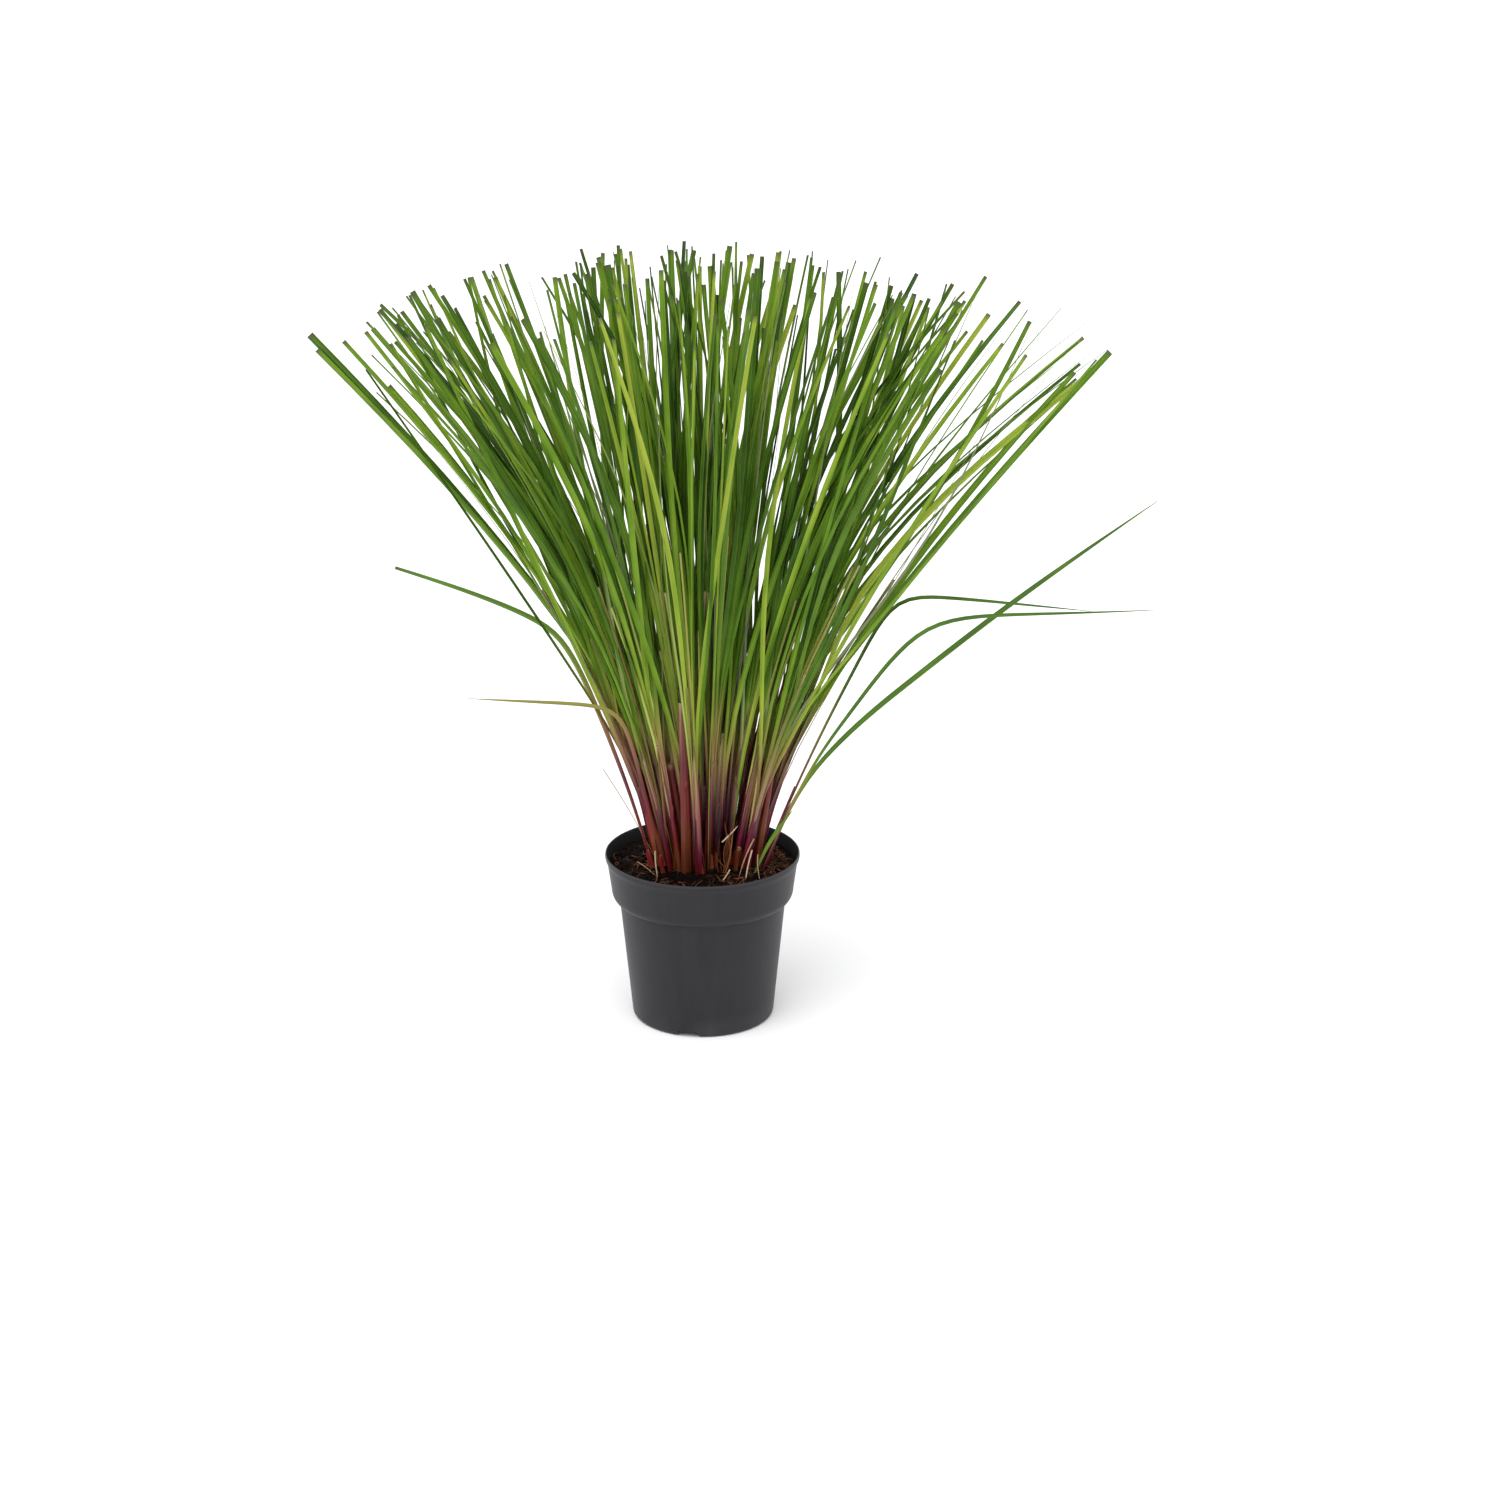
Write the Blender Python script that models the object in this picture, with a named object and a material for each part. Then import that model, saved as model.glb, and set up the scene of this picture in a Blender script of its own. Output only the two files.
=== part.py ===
# A clump of ornamental grass in a plastic nursery pot.
#
# Metres, +Z up, origin at the middle of the pot's flat underside, front towards -Y.
# The clump is an assembly: the pot, the soil plug, one solid for each leafy shoot (tiller) from the
# soil to its leaf tips, the shoots that were cut short, and the blades that stray out of the clump.

import math
import random

import bmesh
import bpy
from mathutils import Matrix, Vector

GAP = 0.0003

# Pot
POT_HEIGHT = 0.150
POT_WALL = 0.0016
POT_FLOOR = 0.0020
POT_SEGMENTS = 48
RIM_RADIUS = 0.0850
LIP_DEPTH = 0.0080
BAND_TOP_RADIUS = 0.0828
BAND_BOTTOM_RADIUS = 0.0797
BAND_BOTTOM_HEIGHT = 0.1180
STEP_HEIGHT = 0.0100
BODY_TOP_RADIUS = 0.0727
BODY_BOTTOM_RADIUS = 0.0624
FOOT_ROUNDING = 0.0040

# Drain channels moulded up into the pot's floor, open at the foot
DRAIN_COUNT = 3
DRAIN_FIRST_ANGLE = math.radians(-101.5)
DRAIN_WIDTH = 0.0210
DRAIN_TOP_WIDTH = 0.0170
DRAIN_HEIGHT = 0.0050
DRAIN_INNER_RADIUS = 0.0360
DRAIN_HOLE_RADIUS = 0.0045
DRAIN_HOLE_FROM_AXIS = 0.0450

# Soil
SOIL_EDGE_HEIGHT = 0.1385
SOIL_CROWN_HEIGHT = 0.1425
SOIL_CROWN_RADIUS = 0.0640

# Crown: the patch of soil that the shoots rise from
CROWN_CENTRE = Vector((0.0030, 0.0020))
CROWN_HALF_WIDTH = 0.0420
CROWN_HALF_DEPTH = 0.0370
SITE_SPACING = 0.0090
SITE_SEED = 12

# Groups of leafy shoots: the middle of the group on the soil and how many shoots it has
SHOOT_GROUPS = (
    (-0.034, -0.013, 4),
    (-0.010, -0.028, 4),
    (0.003, -0.024, 3),
    (0.037, -0.017, 5),
    (-0.016, -0.010, 3),
    (0.004, -0.008, 2),
    (0.021, -0.006, 3),
    (-0.036, 0.007, 2),
    (0.042, 0.003, 2),
    (-0.024, 0.018, 4),
    (-0.004, 0.012, 2),
    (0.014, 0.014, 2),
    (0.033, 0.017, 2),
    (-0.006, 0.032, 2),
    (0.016, 0.031, 2),
)

# Bare soil at the front, between the groups: place and radius
BARE_SPOTS = ((0.0185, -0.0270, 0.0085),)

# Shoots cut short: place on the soil, place of the cut, its height, width at the soil
CUT_SHOOTS = (
    ((-0.0130, -0.0330), (-0.0147, -0.0540), 0.305, 0.0080),
    ((-0.0360, -0.0080), (-0.0636, -0.0120), 0.282, 0.0070),
    ((0.0470, -0.0110), (0.0711, -0.0300), 0.307, 0.0060),
    ((0.0210, -0.0190), (0.0230, -0.0220), 0.172, 0.0060),
    ((0.0290, -0.0250), (0.0320, -0.0290), 0.164, 0.0050),
    ((-0.0120, -0.0200), (-0.0268, -0.0290), 0.241, 0.0060),
)

# Fan of the shoots: how far each tip stands from the crown's middle, against its base
FAN_ACROSS = 8.1
FAN_DEEP = 5.0
FAN_BEND = 0.66
FAN_JITTER = 0.014
FAN_SIDES = (-0.3210, 0.3370)
TIP_HEIGHT = 0.676
TIP_FALL_ACROSS = 0.072
TIP_FALL_DEEP = 0.030
TIP_REACH_ACROSS = 0.330
TIP_REACH_DEEP = 0.200

# Shoot section: the pressed-together sheaths at the soil, thinning to the leaf tips
SHOOT_WIDTH = 0.0078
SHOOT_THICKNESS = 0.0050
SHEATH_END_WIDTH = 0.0055
SHEATH_END_THICKNESS = 0.0030
TIP_WIDTH = 0.0040
TIP_THICKNESS = 0.0016
SHEATH_SHARE = 0.30
SHOOT_SIDES = 6
SHOOT_RINGS = 10
CUT_RINGS = 4

# Stray blades: the points that each one's middle line passes through, and its widest width
BLADE_THICKNESS = 0.0016
BLADE_RINGS_PER_SPAN = 3
STRAY_BLADES = {
    "blade_left_mid": (
        0.0050,
        (-0.0420, -0.0250, 0.1432),
        (-0.0490, -0.0230, 0.177),
        (-0.0790, -0.0180, 0.262),
        (-0.1060, -0.0150, 0.325),
        (-0.1210, -0.0150, 0.353),
        (-0.1500, -0.0160, 0.372),
        (-0.2560, -0.0200, 0.412),
    ),
    "blade_left_low": (
        0.0036,
        (-0.0330, -0.0330, 0.1432),
        (-0.0450, -0.0390, 0.206),
        (-0.0590, -0.0430, 0.262),
        (-0.0710, -0.0440, 0.288),
        (-0.1000, -0.0430, 0.299),
        (-0.1970, -0.0360, 0.302),
    ),
    "blade_right_high": (
        0.0050,
        (0.0540, -0.0180, 0.1432),
        (0.0800, -0.0290, 0.216),
        (0.1200, -0.0370, 0.266),
        (0.1880, -0.0400, 0.328),
        (0.2570, -0.0400, 0.385),
        (0.3790, -0.0300, 0.472),
    ),
    "blade_right_droop": (
        0.0046,
        (0.0510, -0.0280, 0.1432),
        (0.0690, -0.0360, 0.200),
        (0.0940, -0.0500, 0.246),
        (0.1300, -0.0650, 0.300),
        (0.1680, -0.0720, 0.353),
        (0.1990, -0.0740, 0.376),
        (0.2510, -0.0720, 0.386),
        (0.3790, -0.0600, 0.387),
    ),
    "blade_right_mid": (
        0.0050,
        (0.0540, 0.0030, 0.1432),
        (0.0880, 0.0040, 0.230),
        (0.1340, 0.0060, 0.320),
        (0.1700, 0.0060, 0.372),
        (0.2040, 0.0040, 0.379),
        (0.3300, -0.0060, 0.370),
    ),
    "blade_right_short": (
        0.0044,
        (0.0440, -0.0350, 0.1432),
        (0.0590, -0.0400, 0.175),
        (0.0775, -0.0440, 0.204),
    ),
}


def clear_scene():
    for item in list(bpy.data.objects):
        bpy.data.objects.remove(item, do_unlink=True)


def make_material(name, colour, roughness):
    material = bpy.data.materials.new(name)
    material.use_nodes = True
    shader = material.node_tree.nodes["Principled BSDF"]
    shader.inputs["Base Color"].default_value = (*colour, 1.0)
    shader.inputs["Roughness"].default_value = roughness
    shader.inputs["Metallic"].default_value = 0.0
    material.diffuse_color = (*colour, 1.0)
    return material


def object_from(mesh, name, material, smooth_angle=35.0):
    """A new object whose mesh is this bmesh, with its normals outwards and its round sides smooth."""
    bmesh.ops.recalc_face_normals(mesh, faces=mesh.faces)
    data = bpy.data.meshes.new(name)
    mesh.to_mesh(data)
    mesh.free()
    data.shade_smooth()
    data.set_sharp_from_angle(angle=math.radians(smooth_angle))
    data.materials.append(material)
    item = bpy.data.objects.new(name, data)
    bpy.context.scene.collection.objects.link(item)
    return item


def turned(name, outline, segments, material):
    """A solid turned round the Z axis from an outline of (radius, height) that starts and ends on it."""
    mesh = bmesh.new()
    points = [mesh.verts.new((radius, 0.0, height)) for radius, height in outline]
    edges = [mesh.edges.new(pair) for pair in zip(points, points[1:])]
    bmesh.ops.spin(
        mesh,
        geom=points + edges,
        cent=(0.0, 0.0, 0.0),
        axis=(0.0, 0.0, 1.0),
        angle=math.tau,
        steps=segments,
        use_merge=True,
    )
    bmesh.ops.remove_doubles(mesh, verts=mesh.verts, dist=0.00001)
    return object_from(mesh, name, material)


def arc(centre, radius, start, end, steps):
    """Points of (radius, height) on an arc, from the start angle to the end angle in degrees."""
    angles = (math.radians(start + (end - start) * step / steps) for step in range(steps + 1))
    return [(centre[0] + radius * math.cos(a), centre[1] + radius * math.sin(a)) for a in angles]


def wall_outline(inset):
    """The pot's side from its foot to its top, this far in from the outer face."""
    foot = arc(
        (BODY_BOTTOM_RADIUS - FOOT_ROUNDING, FOOT_ROUNDING),
        FOOT_ROUNDING - inset,
        -90,
        0,
        3,
    )
    step_bottom = BAND_BOTTOM_HEIGHT - STEP_HEIGHT
    step_reach = BAND_BOTTOM_RADIUS - BODY_TOP_RADIUS
    step = [
        (
            BODY_TOP_RADIUS - inset + step_reach * math.sin(turn),
            step_bottom + inset + STEP_HEIGHT * (1.0 - math.cos(turn)),
        )
        for turn in (math.radians(18 * number) for number in range(6))
    ]
    lip = [
        (BAND_TOP_RADIUS - inset, POT_HEIGHT - LIP_DEPTH),
        (RIM_RADIUS - inset, POT_HEIGHT - LIP_DEPTH * 0.75),
        (RIM_RADIUS - inset, POT_HEIGHT),
    ]
    return foot + step + lip


def radius_at(outline, height):
    """The outline's radius at this height."""
    for (lower_radius, lower), (upper_radius, upper) in zip(outline, outline[1:]):
        if lower <= height <= upper and upper > lower:
            return lower_radius + (upper_radius - lower_radius) * (height - lower) / (upper - lower)
    raise ValueError("height outside the outline")


def drain_block(name, grow, low, inner_radius, outer_radius, angle):
    """A radial block with sloping sides: the drain channel grown by this much, from this height up."""
    mesh = bmesh.new()
    bmesh.ops.create_cube(mesh, size=1.0)
    high = DRAIN_HEIGHT + grow
    slope = (DRAIN_WIDTH - DRAIN_TOP_WIDTH) / DRAIN_HEIGHT
    for corner in mesh.verts:
        height = high if corner.co.z > 0 else low
        width = DRAIN_TOP_WIDTH + 2.0 * grow + slope * (high - height)
        along = outer_radius if corner.co.x > 0 else inner_radius
        corner.co = Vector((along, math.copysign(width / 2.0, corner.co.y), height))
    bmesh.ops.rotate(mesh, verts=mesh.verts, cent=(0, 0, 0), matrix=Matrix.Rotation(angle, 3, "Z"))
    return object_from(mesh, name, None)


def as_cutter(item):
    item.hide_render = True
    item.display_type = "WIRE"
    return item


def boolean(item, other, operation):
    cut = item.modifiers.new(f"{operation.title()} {other.name}", "BOOLEAN")
    cut.object = other
    cut.operation = operation
    cut.solver = "EXACT"


def make_pot(plastic):
    outer = wall_outline(0.0)
    inner = [point for point in wall_outline(POT_WALL) if point[1] > POT_FLOOR]
    floor_edge = (inner[0][0] - 0.0008, POT_FLOOR)
    outline = [(0.0, 0.0)] + outer + list(reversed(inner)) + [floor_edge, (0.0, POT_FLOOR)]
    pot = turned("pot", outline, POT_SEGMENTS, plastic)
    for number in range(DRAIN_COUNT):
        angle = DRAIN_FIRST_ANGLE + math.tau * number / DRAIN_COUNT
        hump = drain_block(
            f"drain_hump_{number + 1}",
            POT_WALL,
            POT_FLOOR / 2.0,
            DRAIN_INNER_RADIUS - POT_WALL,
            BODY_BOTTOM_RADIUS - POT_WALL / 2.0,
            angle,
        )
        channel = drain_block(
            f"drain_channel_{number + 1}", 0.0, -POT_FLOOR, DRAIN_INNER_RADIUS, RIM_RADIUS, angle
        )
        mesh = bmesh.new()
        bmesh.ops.create_cone(
            mesh,
            cap_ends=True,
            segments=16,
            radius1=DRAIN_HOLE_RADIUS,
            radius2=DRAIN_HOLE_RADIUS,
            depth=0.04,
        )
        place = Matrix.Rotation(angle, 4, "Z") @ Matrix.Translation((DRAIN_HOLE_FROM_AXIS, 0, 0))
        bmesh.ops.transform(mesh, matrix=place, verts=mesh.verts)
        hole = object_from(mesh, f"drain_hole_{number + 1}", None)
        boolean(pot, as_cutter(hump), "UNION")
        boolean(pot, as_cutter(channel), "DIFFERENCE")
        boolean(pot, as_cutter(hole), "DIFFERENCE")
    return pot


def make_soil(peat):
    wall = wall_outline(POT_WALL + GAP)
    side = [point for point in wall if POT_FLOOR + 2 * GAP < point[1] < SOIL_EDGE_HEIGHT]
    floor_height = POT_FLOOR + GAP
    outline = [(0.0, floor_height), (side[0][0] - 0.0012, floor_height)] + side
    outline.append((radius_at(wall, SOIL_EDGE_HEIGHT), SOIL_EDGE_HEIGHT))
    outline.append((SOIL_CROWN_RADIUS, SOIL_CROWN_HEIGHT))
    outline.append((0.0, SOIL_CROWN_HEIGHT))
    soil = turned("soil", outline, POT_SEGMENTS, peat)
    for number in range(DRAIN_COUNT):
        hollow = drain_block(
            f"soil_hollow_{number + 1}",
            POT_WALL + GAP,
            0.0,
            DRAIN_INNER_RADIUS - POT_WALL - GAP,
            RIM_RADIUS,
            DRAIN_FIRST_ANGLE + math.tau * number / DRAIN_COUNT,
        )
        boolean(soil, as_cutter(hollow), "DIFFERENCE")
    return soil


def spaced_sites():
    """Places of the leafy shoots on the soil: each near its group's middle, none too near another."""
    chance = random.Random(SITE_SEED)
    fixed = [Vector(base) for base, *_ in CUT_SHOOTS]
    fixed += [Vector(points[0][:2]) for _, *points in STRAY_BLADES.values()]
    free = []
    for x, y, count in SHOOT_GROUPS:
        for _ in range(count):
            spread = Vector((chance.gauss(0.0, 1.0), chance.gauss(0.0, 1.0))) * SITE_SPACING * 0.5
            free.append(Vector((x, y)) + spread)
    for _ in range(400):
        for number, site in enumerate(free):
            for other in free[number + 1 :] + fixed:
                apart = site - other
                short = SITE_SPACING - apart.length
                if short <= 0.0:
                    continue
                push = apart.normalized() * short
                if other in fixed:
                    site += push
                else:
                    site += push * 0.5
                    other -= push * 0.5
            for x, y, radius in BARE_SPOTS:
                apart = site - Vector((x, y))
                if apart.length < radius + SHOOT_WIDTH / 2.0:
                    site += apart.normalized() * (radius + SHOOT_WIDTH / 2.0 - apart.length)
            reach = from_crown(site)
            if reach > 1.0:
                site += (CROWN_CENTRE - site) * (1.0 - 1.0 / reach)
    return free


def from_crown(site):
    """How far out in the crown a place is: 0 at the middle, 1 at the edge."""
    offset = site - CROWN_CENTRE
    return math.hypot(offset.x / CROWN_HALF_WIDTH, offset.y / CROWN_HALF_DEPTH)


def tip_of(site, sway):
    """Where the longest leaf of a shoot ends."""
    offset = site - CROWN_CENTRE
    x = CROWN_CENTRE.x + offset.x * FAN_ACROSS + sway.x
    x = min(max(x, FAN_SIDES[0]), FAN_SIDES[1])
    y = CROWN_CENTRE.y + offset.y * FAN_DEEP + sway.y
    fall = TIP_FALL_ACROSS * (x / TIP_REACH_ACROSS) ** 2 + TIP_FALL_DEEP * (y / TIP_REACH_DEEP) ** 2
    return Vector((x, y, TIP_HEIGHT - fall))


def shoot_point(site, tip, share):
    """A point on a shoot's middle line: it leaves the soil steeply and bends outwards as it rises."""
    outward = share - FAN_BEND * share * (1.0 - share)
    base = Vector((site.x, site.y, SOIL_CROWN_HEIGHT + GAP))
    point = base + (tip - base) * outward
    point.z = base.z + (tip.z - base.z) * share
    return point


def blend(start, end, share):
    return start + (end - start) * share


def shoot_section(share):
    """Width and thickness of a shoot at this share of its height."""
    if share < SHEATH_SHARE:
        part = share / SHEATH_SHARE
        width = blend(SHOOT_WIDTH, SHEATH_END_WIDTH, part)
        return width, blend(SHOOT_THICKNESS, SHEATH_END_THICKNESS, part)
    part = (share - SHEATH_SHARE) / (1.0 - SHEATH_SHARE)
    width = blend(SHEATH_END_WIDTH, TIP_WIDTH, part)
    return width, blend(SHEATH_END_THICKNESS, TIP_THICKNESS, part)


def lofted(name, rings, material):
    """A closed solid through rings of points, each ring with the same number of points."""
    mesh = bmesh.new()
    loops = [[mesh.verts.new(point) for point in ring] for ring in rings]
    sides = len(loops[0])
    for lower, upper in zip(loops, loops[1:]):
        for side in range(sides):
            after = (side + 1) % sides
            mesh.faces.new((lower[side], lower[after], upper[after], upper[side]))
    mesh.faces.new(reversed(loops[0]))
    mesh.faces.new(loops[-1])
    return object_from(mesh, name, material, 60.0)


def level_ring(centre, width, thickness, turn):
    """Points of a flattened level ring round a shoot."""
    ring = []
    for side in range(SHOOT_SIDES):
        angle = math.tau * side / SHOOT_SIDES
        across = Vector((math.cos(angle) * width / 2.0, math.sin(angle) * thickness / 2.0, 0.0))
        ring.append(centre + Matrix.Rotation(turn, 3, "Z") @ across)
    return ring


def make_shoots(green):
    chance = random.Random(SITE_SEED + 1)
    for number, site in enumerate(spaced_sites()):
        sway = Vector((chance.uniform(-1.0, 1.0), chance.uniform(-1.0, 1.0))) * FAN_JITTER
        turn = chance.uniform(0.0, math.pi)
        tip = tip_of(site, sway)
        rings = []
        for ring in range(SHOOT_RINGS):
            share = ring / (SHOOT_RINGS - 1)
            rings.append(level_ring(shoot_point(site, tip, share), *shoot_section(share), turn))
        lofted(f"tiller_{number + 1:02d}", rings, green)


def make_cut_shoots(purple):
    for number, (base, top, cut_height, width) in enumerate(CUT_SHOOTS):
        low = Vector((*base, SOIL_CROWN_HEIGHT + GAP))
        high = Vector((*top, cut_height))
        rings = []
        for ring in range(CUT_RINGS):
            part = ring / (CUT_RINGS - 1)
            ring_width = width * blend(1.0, 0.8, part)
            rings.append(level_ring(low.lerp(high, part), ring_width, ring_width * 0.8, 0.0))
        lofted(f"cut_stem_{number + 1}", rings, purple)


def smooth_path(points, steps):
    """Points on a Catmull-Rom curve through the given points."""
    ends = [points[0] * 2.0 - points[1]] + points + [points[-1] * 2.0 - points[-2]]
    path = []
    for before, start, end, after in zip(ends, ends[1:], ends[2:], ends[3:]):
        for step in range(steps):
            t = step / steps
            path.append(
                0.5
                * (
                    start * 2.0
                    + (end - before) * t
                    + (before * 2.0 - start * 5.0 + end * 4.0 - after) * t**2
                    + (start * 3.0 - before - end * 3.0 + after) * t**3
                )
            )
    path.append(points[-1])
    return path


def make_stray_blades(green):
    for name, (width, *points) in STRAY_BLADES.items():
        path = smooth_path([Vector(point) for point in points], BLADE_RINGS_PER_SPAN)
        rings = []
        for number, centre in enumerate(path):
            along = path[min(number + 1, len(path) - 1)] - path[max(number - 1, 0)]
            if number == 0:
                along = Vector((0.0, 0.0, 1.0))
            flat = along.cross(Vector((0.0, 1.0, 0.0))).normalized()
            depth = along.cross(flat).normalized()
            share = number / (len(path) - 1)
            half_width = width / 2.0 * (1.0 - 0.7 * share**3)
            half_thickness = BLADE_THICKNESS / 2.0 * (1.0 - 0.4 * share)
            corners = (depth * half_width, flat * half_thickness)
            rings.append([centre + corners[0], centre + corners[1], centre - corners[0], centre - corners[1]])
        lofted(name, rings, green)


def main():
    clear_scene()
    plastic = make_material("charcoal_plastic", (0.045, 0.045, 0.050), 0.55)
    peat = make_material("peat", (0.020, 0.012, 0.008), 0.95)
    green = make_material("grass_green", (0.090, 0.200, 0.030), 0.50)
    purple = make_material("sheath_purple", (0.160, 0.040, 0.060), 0.50)
    make_pot(plastic)
    make_soil(peat)
    make_shoots(green)
    make_cut_shoots(purple)
    make_stray_blades(green)


main()
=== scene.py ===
import math
import random

import bmesh
import bpy
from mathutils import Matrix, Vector


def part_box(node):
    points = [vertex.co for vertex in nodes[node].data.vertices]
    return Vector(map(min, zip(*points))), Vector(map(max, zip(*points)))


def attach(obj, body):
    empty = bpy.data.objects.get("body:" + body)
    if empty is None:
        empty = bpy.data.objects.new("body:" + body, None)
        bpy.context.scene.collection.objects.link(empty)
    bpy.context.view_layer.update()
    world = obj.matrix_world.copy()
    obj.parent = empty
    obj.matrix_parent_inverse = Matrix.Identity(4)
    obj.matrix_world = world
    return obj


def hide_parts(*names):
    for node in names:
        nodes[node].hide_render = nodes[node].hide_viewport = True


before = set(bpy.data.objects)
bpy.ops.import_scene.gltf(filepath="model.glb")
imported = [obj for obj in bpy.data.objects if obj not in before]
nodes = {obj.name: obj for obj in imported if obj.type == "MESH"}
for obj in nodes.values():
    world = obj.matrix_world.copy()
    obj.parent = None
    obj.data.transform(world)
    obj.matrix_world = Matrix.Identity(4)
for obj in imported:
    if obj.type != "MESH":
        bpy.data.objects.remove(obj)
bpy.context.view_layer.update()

shootNames = sorted(name for name in nodes if name.startswith("tiller_"))
stemNames = sorted(name for name in nodes if name.startswith("cut_stem_"))
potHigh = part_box("pot")[1]
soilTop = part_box("soil")[1].z


def freshStart():
    # leaves nothing selected, so that the next operator acts on one piece only
    if bpy.context.mode != "OBJECT":
        bpy.ops.object.mode_set(mode="OBJECT")
    bpy.ops.object.select_all(action="DESELECT")


def useOnly(*pieces):
    freshStart()
    for piece in pieces:
        piece.select_set(True)
    bpy.context.view_layer.objects.active = pieces[-1]


def editPiece(piece):
    useOnly(piece)
    bpy.ops.object.mode_set(mode="EDIT")
    bpy.context.tool_settings.mesh_select_mode = (True, False, False)


def pickPoints(test):
    # selects the points in edit mode whose place passes the test
    mesh = bmesh.from_edit_mesh(bpy.context.object.data)
    for point in mesh.verts:
        point.select_set(False)
    for point in mesh.verts:
        if test(point.co):
            point.select_set(True)
    mesh.select_flush(True)
    bmesh.update_edit_mesh(bpy.context.object.data)


def pickAll():
    bpy.ops.mesh.select_all(action="SELECT")


def pickFaces(test):
    # selects the faces in edit mode whose normal passes the test
    bpy.context.tool_settings.mesh_select_mode = (False, False, True)
    mesh = bmesh.from_edit_mesh(bpy.context.object.data)
    for face in mesh.faces:
        face.select_set(test(face.normal))
    bmesh.update_edit_mesh(bpy.context.object.data)


def leaveEdit():
    bpy.ops.object.mode_set(mode="OBJECT")


def applyAll(piece):
    useOnly(piece)
    for modifier in list(piece.modifiers):
        bpy.ops.object.modifier_apply(modifier=modifier.name)


def settle(piece):
    # puts the place, turn and scale into the mesh
    useOnly(piece)
    bpy.ops.object.transform_apply(location=True, rotation=True, scale=True)


def joined(pieces, name):
    useOnly(*pieces)
    if len(pieces) > 1:
        bpy.ops.object.join()
    piece = bpy.context.view_layer.objects.active
    piece.name = name
    piece.data.name = name
    return piece


def addTube(sides, ends):
    # a tube along X from 0 to 1, left in edit mode
    freshStart()
    bpy.ops.mesh.primitive_cylinder_add(
        vertices=sides, radius=1.0, depth=1.0, end_fill_type=ends,
        location=(0.5, 0, 0), rotation=(0, math.pi / 2, 0),
    )
    tube = bpy.context.object
    settle(tube)
    editPiece(tube)
    return tube


def copyOf(blank):
    piece = blank.copy()
    piece.data = blank.data.copy()
    bpy.context.scene.collection.objects.link(piece)
    return piece


def paint(piece, material):
    piece.data.materials.clear()
    piece.data.materials.append(material)


def smoothBy(piece, degrees):
    useOnly(piece)
    bpy.ops.object.shade_smooth_by_angle(angle=math.radians(degrees))


def writeValue(piece, name, value):
    # one number for the whole piece, which its material reads after the pieces are joined
    values = piece.data.attributes.get(name) or piece.data.attributes.new(name, "FLOAT", "POINT")
    values.data.foreach_set("value", [value] * len(piece.data.vertices))


def cutAcross(count, axis):
    # bisects the whole piece into equal lengths from 0 to 1 along an axis
    direction = Vector([1.0 if number == axis else 0.0 for number in range(3)])
    for number in range(1, count):
        pickAll()
        bpy.ops.mesh.bisect(plane_co=direction * number / count, plane_no=direction)


def startMaterial(name):
    material = bpy.data.materials.new(name)
    material.use_nodes = True
    tree = material.node_tree
    return material, tree, tree.nodes["Principled BSDF"]


def node(tree, kind, place, **values):
    made = tree.nodes.new(kind)
    made.location = place
    for name, value in values.items():
        setattr(made, name, value)
    return made


def mathNode(tree, operation, first, second=None, third=None, clamp=False):
    made = node(tree, "ShaderNodeMath", (0, 0), operation=operation, use_clamp=clamp)
    for socket, value in zip(made.inputs, (first, second, third)):
        if value is None:
            continue
        if isinstance(value, (int, float)):
            socket.default_value = value
        else:
            tree.links.new(value, socket)
    return made.outputs[0]


def times(tree, first, second):
    return mathNode(tree, "MULTIPLY", first, second)


def timesPlus(tree, value, by, plus):
    return mathNode(tree, "MULTIPLY_ADD", value, by, plus)


def leafValue(tree, name):
    # one of the numbers that writeLook stores on a piece
    return node(tree, "ShaderNodeAttribute", (-1400, 300), attribute_name=name).outputs["Fac"]


def objectPlace(tree):
    return node(tree, "ShaderNodeTexCoord", (-1400, -300)).outputs["Object"]


def splitXyz(tree, vector):
    parts = node(tree, "ShaderNodeSeparateXYZ", (-1200, -300))
    tree.links.new(vector, parts.inputs[0])
    return parts.outputs


def ramp(tree, factor, stops):
    made = node(tree, "ShaderNodeValToRGB", (0, 0))
    points = made.color_ramp.elements
    while len(points) < len(stops):
        points.new(0.5)
    for point, (position, colour) in zip(points, stops):
        point.position = position
        point.color = (*colour, 1.0) if len(colour) == 3 else colour
    tree.links.new(factor, made.inputs[0])
    return made.outputs["Color"]


def mixColour(tree, factor, first, second, blend="MIX"):
    made = node(tree, "ShaderNodeMix", (0, 0), data_type="RGBA", blend_type=blend)
    for socket, value in zip((made.inputs[0], made.inputs[6], made.inputs[7]), (factor, first, second)):
        if isinstance(value, (int, float)):
            socket.default_value = value
        elif isinstance(value, tuple):
            socket.default_value = (*value, 1.0)
        else:
            tree.links.new(value, socket)
    return made.outputs[2]


def noise(tree, vector, scale, detail=3.0, roughness=0.55):
    made = node(tree, "ShaderNodeTexNoise", (0, 0))
    made.inputs["Scale"].default_value = scale
    made.inputs["Detail"].default_value = detail
    made.inputs["Roughness"].default_value = roughness
    tree.links.new(vector, made.inputs["Vector"])
    return made.outputs["Fac"]


def bump(tree, height, strength, distance):
    made = node(tree, "ShaderNodeBump", (0, 0))
    made.inputs["Strength"].default_value = strength
    made.inputs["Distance"].default_value = distance    # metres
    tree.links.new(height, made.inputs["Height"])
    return made.outputs["Normal"]


def finishShader(tree, shader, colour, gloss, rough, normal):
    shader.inputs["Specular IOR Level"].default_value = gloss
    for name, value in (("Base Color", colour), ("Roughness", rough), ("Normal", normal)):
        tree.links.new(value, shader.inputs[name])


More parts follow.
